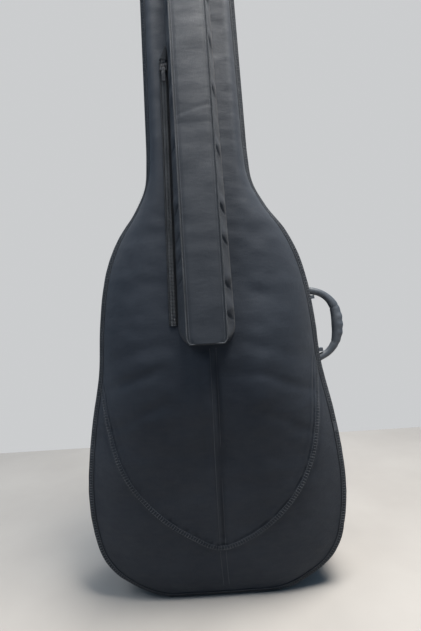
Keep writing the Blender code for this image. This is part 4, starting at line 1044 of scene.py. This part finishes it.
def make_pocket_zip():
    (x0, z0), (x1, z1) = POCKET_ZIP
    z = np.linspace(z0, z1, 120)
    zip_x = np.interp(z, [z0, z1], [x0, x1])
    skin = front_y(np.zeros_like(z), z)
    for body, side, tape_node, coil_node in (
        ("lid", -1, "pocket_zip_tape_lid", "pocket_coil_lid"),
        ("pocket_flap", 1, "pocket_zip_tape_flap", "pocket_coil_flap"),
    ):
        columns = []
        for offset in np.linspace(0.0007, 0.0076, 5):
            proud = 0.0018 + 0.0002 * math.sin(offset * 900)
            columns.append(np.stack([zip_x + side * offset, skin - proud, z], axis=1))
        grid = np.stack(columns if side > 0 else columns[::-1], axis=1)
        mesh = closed_sheet(body + "_pocket_tape", in_place(grid), 0.0010)
        finish_piece(body + "_pocket_tape", mesh, ZIP_TAPE, body, (tape_node,))
        line = in_place(np.stack([zip_x + side * 0.0022, skin - 0.0034, z], axis=1))
        coil(body + "_pocket_teeth", [line], body, (0, -1, 0), (coil_node,), width=0.0034, height=0.0020)
    row = in_place(np.stack([zip_x - 0.0062, skin - 0.0020, z], axis=1))
    stitches("pocket_zip_stitching", [row], "lid", spacing=0.0036)

    path_z = np.linspace(z1 + 0.001, z1 + 0.030, 10)
    fold = np.stack([np.interp(path_z, [z1, z1 + 0.03], [x1 - 0.001, x1 + 0.006]),
                     front_y(np.zeros_like(path_z), path_z) - 0.0030, path_z], axis=1)
    swell = np.linspace(1.1, 0.45, 10)
    mesh = tube_along("pocket_zip_end", in_place(fold), 0.013, 0.0036, (0, -1, 0), around=12, power=3.0, swell=swell)
    finish_piece("pocket_zip_end", mesh, BINDING, "lid")


# Handles


GRIP_LINE = [
    (0.2225, 0.5835, 0.0080), (0.2440, 0.5770, 0.0076), (0.2610, 0.5650, 0.0082), (0.2725, 0.5480, 0.0100),
    (0.2770, 0.5290, 0.0116), (0.2780, 0.5080, 0.0122), (0.2765, 0.4880, 0.0112), (0.2700, 0.4670, 0.0090),
    (0.2560, 0.4500, 0.0078), (0.2330, 0.4375, 0.0080),
]


def make_carry_handle():
    """The moulded handle: slim arms and a thick grip with a hollow for each finger inside."""
    knots = [Vector(point) for point in GRIP_LINE]
    run = curve_through(knots, knots[0] - (knots[1] - knots[0]), knots[-1] + (knots[-1] - knots[-2]), 8)
    run = np.array([tuple(point) for point in run])
    path = np.stack([run[:, 0], np.full(len(run), 0.085), run[:, 1]], axis=1)
    along = np.gradient(path, axis=0)
    along /= np.linalg.norm(along, axis=1)[:, None]
    across = np.array([0.0, 1.0, 0.0])
    rings = []
    angles = np.linspace(0, 2 * math.pi, 28, endpoint=False)
    for i, point in enumerate(path):
        radius = run[i, 2]
        side = np.cross(across, along[i])
        side /= np.linalg.norm(side)
        grip = max(0.0, 1 - abs(point[2] - 0.507) / 0.036)
        finger = 1 + 0.055 * math.cos((point[2] - 0.507) / 0.0175 * 2 * math.pi) * (grip > 0) * min(1, grip * 3)
        groove = 1 - 0.10 * (math.exp(-((point[2] - 0.546) / 0.0016) ** 2) + math.exp(-((point[2] - 0.468) / 0.0016) ** 2))
        ring = []
        for angle in angles:
            outward = math.cos(angle)
            scale = (finger if outward < 0 else 1.0) * groove
            ring.append(point + (side * outward * 0.98 + across * math.sin(angle) * 0.86) * radius * scale)
        rings.append(np.array(ring))
    mesh = swept("carry_grip", [in_place(ring) for ring in rings])
    finish_piece("carry_grip", mesh, HANDLE_RUBBER, "carry_handle", ("carry_handle",))
    for name in ("handle_anchor_top", "handle_anchor_bottom"):
        give_finish(name, HANDLE_RUBBER)
    make_anchor_patches()


def make_anchor_patches():
    """Sewn patches of webbing under the handle's brackets."""
    rows = []
    for name in ("handle_anchor_top", "handle_anchor_bottom"):
        low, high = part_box(name)
        middle = (low[2] + high[2]) / 2 - BASE_LIFT
        z = np.linspace(middle - 0.030, middle + 0.030, 15)
        edge = np.interp(z, EDGE_Z, EDGE_X)
        columns = []
        for y in np.linspace(0.064, 0.106, 9):
            fall = 0.0014 * (1 - ((y - 0.085) / 0.021) ** 4)
            columns.append(np.stack([edge - 0.0040 + fall, np.full_like(z, y), z], axis=1))
        mesh = closed_sheet(name + "_patch", in_place(np.stack(columns, axis=1)), 0.0016)
        finish_piece(name + "_patch", mesh, WEBBING, "case")
        for y in (0.0665, 0.1035):
            rows.append(in_place(np.stack([edge - 0.0030, np.full_like(z, y), z], axis=1)))
    stitches("anchor_stitching", rows, "case", spacing=0.0034)


def make_grab_handle():
    """A webbing loop with a thicker, rolled grip, on its sewn patch."""
    low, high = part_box("grab_handle")
    y_in, y_out = low[1] + 0.0056, high[1] - 0.0074
    z_low, z_high = low[2] + 0.006, high[2] - 0.006
    knots = [
        Vector((0, y_in - 0.002, z_low)), Vector((0, y_in + 0.012, z_low + 0.003)), Vector((0, y_out - 0.003, z_low + 0.016)),
        Vector((0, y_out, z_low + 0.040)), Vector((0, y_out, (z_low + z_high) / 2)), Vector((0, y_out, z_high - 0.040)),
        Vector((0, y_out - 0.003, z_high - 0.016)), Vector((0, y_in + 0.012, z_high - 0.003)), Vector((0, y_in - 0.002, z_high)),
    ]
    run = curve_through(knots, knots[0] - (knots[1] - knots[0]), knots[-1] + (knots[-1] - knots[-2]), 8)
    path = np.array([tuple(point) for point in run])
    middle = (z_low + z_high) / 2
    swell = 0.62 + 0.38 * smooth_step((0.055 - np.abs(path[:, 2] - middle)) / 0.018)
    mesh = tube_along("grab_grip", path, 0.0158, 0.0135, np.tile([1.0, 0.0, 0.0], (len(path), 1)), 18, 2.3, swell)
    finish_piece("grab_grip", mesh, WEBBING, "grab_handle", ("grab_handle",))
    low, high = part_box("grab_patch")
    make_patch("grab_mount_patch", low, high, "grab_patch", 0.0006)


def make_patch(name, low, high, node, margin):
    """A rectangular patch sewn on the back, with a row of stitches inside its edge."""
    x = np.linspace(high[0] - margin, low[0] + margin, 17)
    z = np.linspace(low[2] + margin, high[2] - margin, 21)
    grid_x, grid_z = np.meshgrid(x, z)
    u = (grid_x - low[0]) / (high[0] - low[0]) * 2 - 1
    v = (grid_z - low[2]) / (high[2] - low[2]) * 2 - 1
    fall = 0.0012 * (np.abs(u) ** 12 + np.abs(v) ** 12) - 0.0003 * ripple(grid_x, grid_z, 0.03, 61)
    points = np.stack([grid_x, high[1] - np.clip(fall, -0.001, 0.0016), grid_z], axis=2)
    mesh = closed_sheet(name, points, max(0.0012, high[1] - low[1] - 0.0008))
    finish_piece(name, mesh, WEBBING, "case", (node,))
    inner = 0.0042
    box = [(low[0] + inner, low[2] + inner), (high[0] - inner, low[2] + inner), (high[0] - inner, high[2] - inner),
           (low[0] + inner, high[2] - inner), (low[0] + inner, low[2] + inner)]
    rows = [[(*np.interp(t, [0, 1], [a[0], b[0]]).reshape(1), high[1] + 0.0001, float(np.interp(t, [0, 1], [a[1], b[1]])))
             for t in np.linspace(0, 1, 12)] for a, b in zip(box, box[1:])]
    stitches(name + "_stitching", [np.array(row) for row in rows], "case", spacing=0.0036)


# Shoulder straps


def strap_line(side):
    """The strap's top, its direction down the back, and the direction across it."""
    top = np.array([side * 0.072, 0.0, 0.655])
    bottom = np.array([side * 0.150, 0.0, 0.185])
    down = (bottom - top) / np.linalg.norm(bottom - top)
    return top, down, np.array([-down[2], 0.0, down[0]])


STRAP_BASE = BODY_DEPTH + BACK_CROWN + 0.0004
STRAP_END = 0.315 + 0.026 + 0.072


def strap_lift(distance):
    return 0.016 * np.sin(math.pi * np.clip(distance / STRAP_END, 0.0, 1.0)) ** 1.2


def make_strap(side):
    name = "right" if side > 0 else "left"
    body = "strap_" + name
    top, down, across = strap_line(side)
    rings, edge_rings = [], []
    for distance in np.linspace(0.0004, 0.3146, 84):
        centre = top + down * distance
        taper = 1 - 0.10 * smooth_step((distance - 0.24) / 0.07)
        closing = min(1.0, math.sqrt(max(0.0, 1 - max(0.0, 1 - distance / 0.006) ** 2)), 1.0)
        closing = min(closing, math.sqrt(max(0.02, 1 - max(0.0, 1 - (0.315 - distance) / 0.006) ** 2)))
        height = 0.0116 * max(0.30, closing)
        quilt = 1 - 0.22 * bump_at(distance % 0.063, 0.0315, 0.0035)
        ring = []
        for angle in np.linspace(0, 2 * math.pi, 36, endpoint=False):
            c, s = math.cos(angle), math.sin(angle)
            width = np.sign(c) * abs(c) ** 0.55 * 0.0288 * taper
            rise = np.sign(s) * abs(s) ** 0.9 * height / 2 * (1 - 0.45 * abs(c) ** 5) * (quilt if s > 0 else 1.0)
            ring.append(centre + across * width + np.array([0, STRAP_BASE + strap_lift(distance) + 0.0062 + rise, 0]))
        rings.append(in_place(np.array(ring)))
    mesh = swept("strap_padding_" + name, rings)
    pad = finish_piece("strap_padding_" + name, mesh, SIDE_NYLON, body, (f"strap_pad_{name}",))
    rows, binding = [], []
    distance = np.linspace(0.004, 0.311, 100)
    for edge in (-1, 1):
        taper = 1 - 0.10 * smooth_step((distance - 0.24) / 0.07)
        centre = top + down * distance[:, None] + across * (edge * 0.0291 * taper)[:, None]
        centre[:, 1] = STRAP_BASE + strap_lift(distance) + 0.0062
        mesh = tube_along(f"strap_edge_{name}_{'outer' if edge > 0 else 'inner'}", in_place(centre), 0.0034, 0.0058,
                          (0, 1, 0), around=10, power=3.0)
        finish_piece(mesh.name, mesh, BINDING, body)
        line = top + down * distance[:, None] + across * (edge * 0.0235 * taper)[:, None]
        line[:, 1] = STRAP_BASE + strap_lift(distance) + 0.0062 + 0.0054
        rows.append(in_place(line))
    stitches("strap_stitching_" + name, rows, body, spacing=0.0040)
    make_webbing(name, side, body)
    give_finish("strap_buckle_" + name, BLACK_PLASTIC)
    give_finish("strap_hook_" + name, BLACK_PLASTIC)
    give_finish("strap_ring_" + name, ENAMEL)
    make_tab(name, side)


def make_webbing(name, side, body):
    """The webbing from the buckle to the hook, with a folded and sewn end."""
    top, down, across = strap_line(side)
    start, length = 0.315 + 0.0004 + 0.026 + 0.0004, 0.072
    distance = np.linspace(start, start + length, 40)
    columns = []
    for u in np.linspace(-1, 1, 9):
        line = top + down * distance[:, None] + across * (u * 0.0122)
        line[:, 1] = STRAP_BASE + 0.0054 + strap_lift(distance) + 0.0021 - 0.0003 * abs(u) ** 4
        columns.append(line)
    grid = in_place(np.stack(columns if side * across[0] * side < 0 else columns[::-1], axis=1))
    mesh = closed_sheet("strap_tape_" + name, grid, 0.0019)
    finish_piece("strap_tape_" + name, mesh, WEBBING, body, (f"strap_webbing_{name}",))
    rows = []
    for at in (start + 0.050, start + 0.056):
        u = np.linspace(-0.0105, 0.0105, 10)
        line = top + down * at + across * u[:, None]
        line[:, 1] = STRAP_BASE + 0.0054 + strap_lift(at) + 0.0022
        rows.append(in_place(line))
    stitches("strap_tape_stitching_" + name, rows, body, spacing=0.0030)


def make_tab(name, side):
    """The sewn tab that holds the ring: a loop round the ring's bar with its ends stitched down."""
    top, down, across = strap_line(side)
    low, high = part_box("strap_tab_" + name)
    y_low, y_high = low[1] + BODY_DEPTH / 2, high[1] + BODY_DEPTH / 2
    centre = (np.array(low) + np.array(high)) / 2 - np.array([0, -BODY_DEPTH / 2, BASE_LIFT])
    centre[1] = 0.0
    middle_y = (y_low + y_high) / 2
    bar = 0.017 - 0.0036
    profile = []
    for turn in np.linspace(-math.pi / 2, math.pi / 2, 9):
        profile.append((bar + 0.0034 * math.cos(turn), middle_y + 0.0034 * math.sin(turn)))
    for along, up in ((0.006, y_low + 0.0034), (-0.008, y_low + 0.0028), (-0.0166, y_low + 0.0024), (-0.0166, y_low + 0.0003)):
        profile.append((along, up))
    rings = []
    for u in np.linspace(-0.0128, 0.0128, 9):
        ring = [centre + down * along + across * u + np.array([0, up, 0]) for along, up in profile]
        rings.append(in_place(np.array(ring)))
    inner = []
    for turn in np.linspace(0, 2 * math.pi, 14, endpoint=False):
        inner.append((bar + 0.0021 * math.cos(turn), middle_y + 0.0021 * math.sin(turn)))
    mesh = swept("ring_tab_" + name, rings)
    finish_piece("ring_tab_" + name, mesh, WEBBING, "case", (f"strap_tab_{name}",), smooth=False)


def make_yoke():
    low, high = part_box("strap_yoke")
    make_patch("yoke_patch", low, high, "strap_yoke", 0.0004)
    give_finish("base_patch", WEAR_SHEET)
    for name in ("main_slider_upper", "main_slider_lower", "main_pull_upper", "main_pull_lower", "pocket_slider", "pocket_pull"):
        give_finish(name, ENAMEL)


# Inside


def make_inside():
    """The neck cradle in plush, the two-part neck strap, the endpin cup and the bridge guard."""
    low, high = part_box("neck_cradle")
    width, y0, y1 = (high[0] - low[0]) / 2 - 0.0004, low[1], high[1]
    groove_y = (y0 + y1) / 2 - 0.034
    rings = []
    for z in np.linspace(low[2] + 0.0004, high[2] - 0.0004, 25):
        v = (z - low[2]) / (high[2] - low[2]) * 2 - 1
        soft = 0.0035 * max(0.0, abs(v) - 0.86) / 0.14
        outer = []
        for x in np.linspace(-width + soft, width - soft, 41):
            dip = groove_y + math.sqrt(max(0.0, (0.034 + soft) ** 2 - x * x)) if abs(x) < 0.034 + soft else -9.0
            shoulder = 0.003 * (abs(x) / width) ** 10
            outer.append((x, max(y0 + soft + shoulder, dip + 0.0002), z))
        back = [(x, y1 - 0.0003 - soft * 0.5, z) for x in np.linspace(width - soft, -width + soft, 21)]
        rings.append(np.array(outer + back))
    mesh = swept("cradle_plush", rings)
    finish_piece("cradle_plush", mesh, PLUSH, "case", ("neck_cradle",))
    for node, body in (("neck_strap_fixed", "case"), ("neck_strap_flap", "neck_strap_flap")):
        low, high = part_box(node)
        middle = [(low[i] + high[i]) / 2 for i in range(3)]
        path = np.stack([np.linspace(low[0], high[0], 30), np.full(30, middle[1]), np.full(30, middle[2])], axis=1)
        mesh = tube_along(node + "_tape", path, high[2] - low[2] - 0.0004, high[1] - low[1] - 0.0002, (0, -1, 0), 20, 8.0)
        finish_piece(node + "_tape", mesh, WEBBING, body, (node,))
    low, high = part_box("bridge_guard")
    x = np.linspace(-0.0545, 0.0545, 23)
    z = np.linspace(low[2] - BASE_LIFT + 0.0005, high[2] - BASE_LIFT - 0.0005, 21)
    grid_x, grid_z = np.meshgrid(x, z)
    clear_of_cloth = front_skin(grid_x, grid_z) + FRONT_SHEET + 0.0014
    y = np.maximum(front_y(grid_x, grid_z) + 0.0097, clear_of_cloth) + 0.0006 * ripple(grid_x, grid_z, 0.03, 71)
    mesh = closed_sheet("bridge_pad", in_place(np.stack([grid_x, y, grid_z], axis=2)), 0.0020)
    finish_piece("bridge_pad", mesh, PLUSH, "lid", ("bridge_guard",))
    give_finish("endpin_cup", BLACK_PLASTIC)


# Stage, light and camera


def make_stage():
    mesh = bpy.data.meshes.new("floor")
    mesh.from_pydata([(-3.0, -3.2, 0.0), (3.0, -3.2, 0.0), (3.0, 0.93, 0.0), (-3.0, 0.93, 0.0)], [], [(0, 1, 2, 3)])
    floor = bpy.data.objects.new("floor", mesh)
    bpy.context.scene.collection.objects.link(floor)
    finish = Finish("floor", 0.85, specular=0.2)
    finish.colour(finish.ramp(finish.noise(3.0), [(0.3, (0.365, 0.342, 0.318)), (0.7, (0.405, 0.382, 0.356))]))
    mesh.materials.append(finish.material)

    world = bpy.data.worlds.new("studio")
    bpy.context.scene.world = world
    world.use_nodes = True
    nodes, links = world.node_tree.nodes, world.node_tree.links
    background = nodes["Background"]
    background.inputs["Color"].default_value = (0.46, 0.70, 1.0, 1.0)
    background.inputs["Strength"].default_value = 0.31
    plain = nodes.new("ShaderNodeBackground")
    plain.inputs["Color"].default_value = (0.60, 0.61, 0.62, 1.0)
    plain.inputs["Strength"].default_value = 1.0
    path, mix = nodes.new("ShaderNodeLightPath"), nodes.new("ShaderNodeMixShader")
    links.new(path.outputs["Is Camera Ray"], mix.inputs[0])
    links.new(background.outputs[0], mix.inputs[1])
    links.new(plain.outputs[0], mix.inputs[2])
    links.new(mix.outputs[0], nodes["World Output"].inputs["Surface"])

    for name, place, size, power, colour in (
        ("key", (0.50, -0.54, 2.48), 0.9, 105.0, (1.0, 0.965, 0.915)),
        ("fill", (-1.25, -0.95, 2.2), 1.2, 24.0, (0.90, 0.95, 1.0)),
        ("rim", (0.2, 1.4, 2.1), 1.2, 22.0, (1.0, 1.0, 1.0)),
    ):
        lamp = bpy.data.lights.new(name, "AREA")
        lamp.size = size
        lamp.energy = power
        lamp.color = colour
        obj = bpy.data.objects.new(name, lamp)
        obj.location = place
        obj.rotation_euler = (Vector((0, -0.05, 0.55)) - Vector(place)).to_track_quat("-Z", "Y").to_euler()
        bpy.context.scene.collection.objects.link(obj)


def make_camera():
    data = bpy.data.cameras.new("camera")
    data.lens = 24.0
    data.sensor_width = 36.0
    data.clip_start = 0.01
    camera = bpy.data.objects.new("camera", data)
    roll = Matrix.Rotation(math.radians(-3.6), 4, "Z")
    camera.matrix_world = Matrix.Translation((0.0074, -0.9075, 0.5436)) @ Matrix.Rotation(math.pi / 2, 4, "X") @ roll
    bpy.context.scene.collection.objects.link(camera)
    bpy.context.scene.camera = camera
    bpy.context.scene.view_settings.view_transform = "Standard"


make_camera()
make_front()
make_back()
make_bindings()
make_walls()
make_pocket()
make_carry_handle()
make_grab_handle()
for side in (-1, 1):
    make_strap(side)
make_yoke()
make_inside()
make_stage()
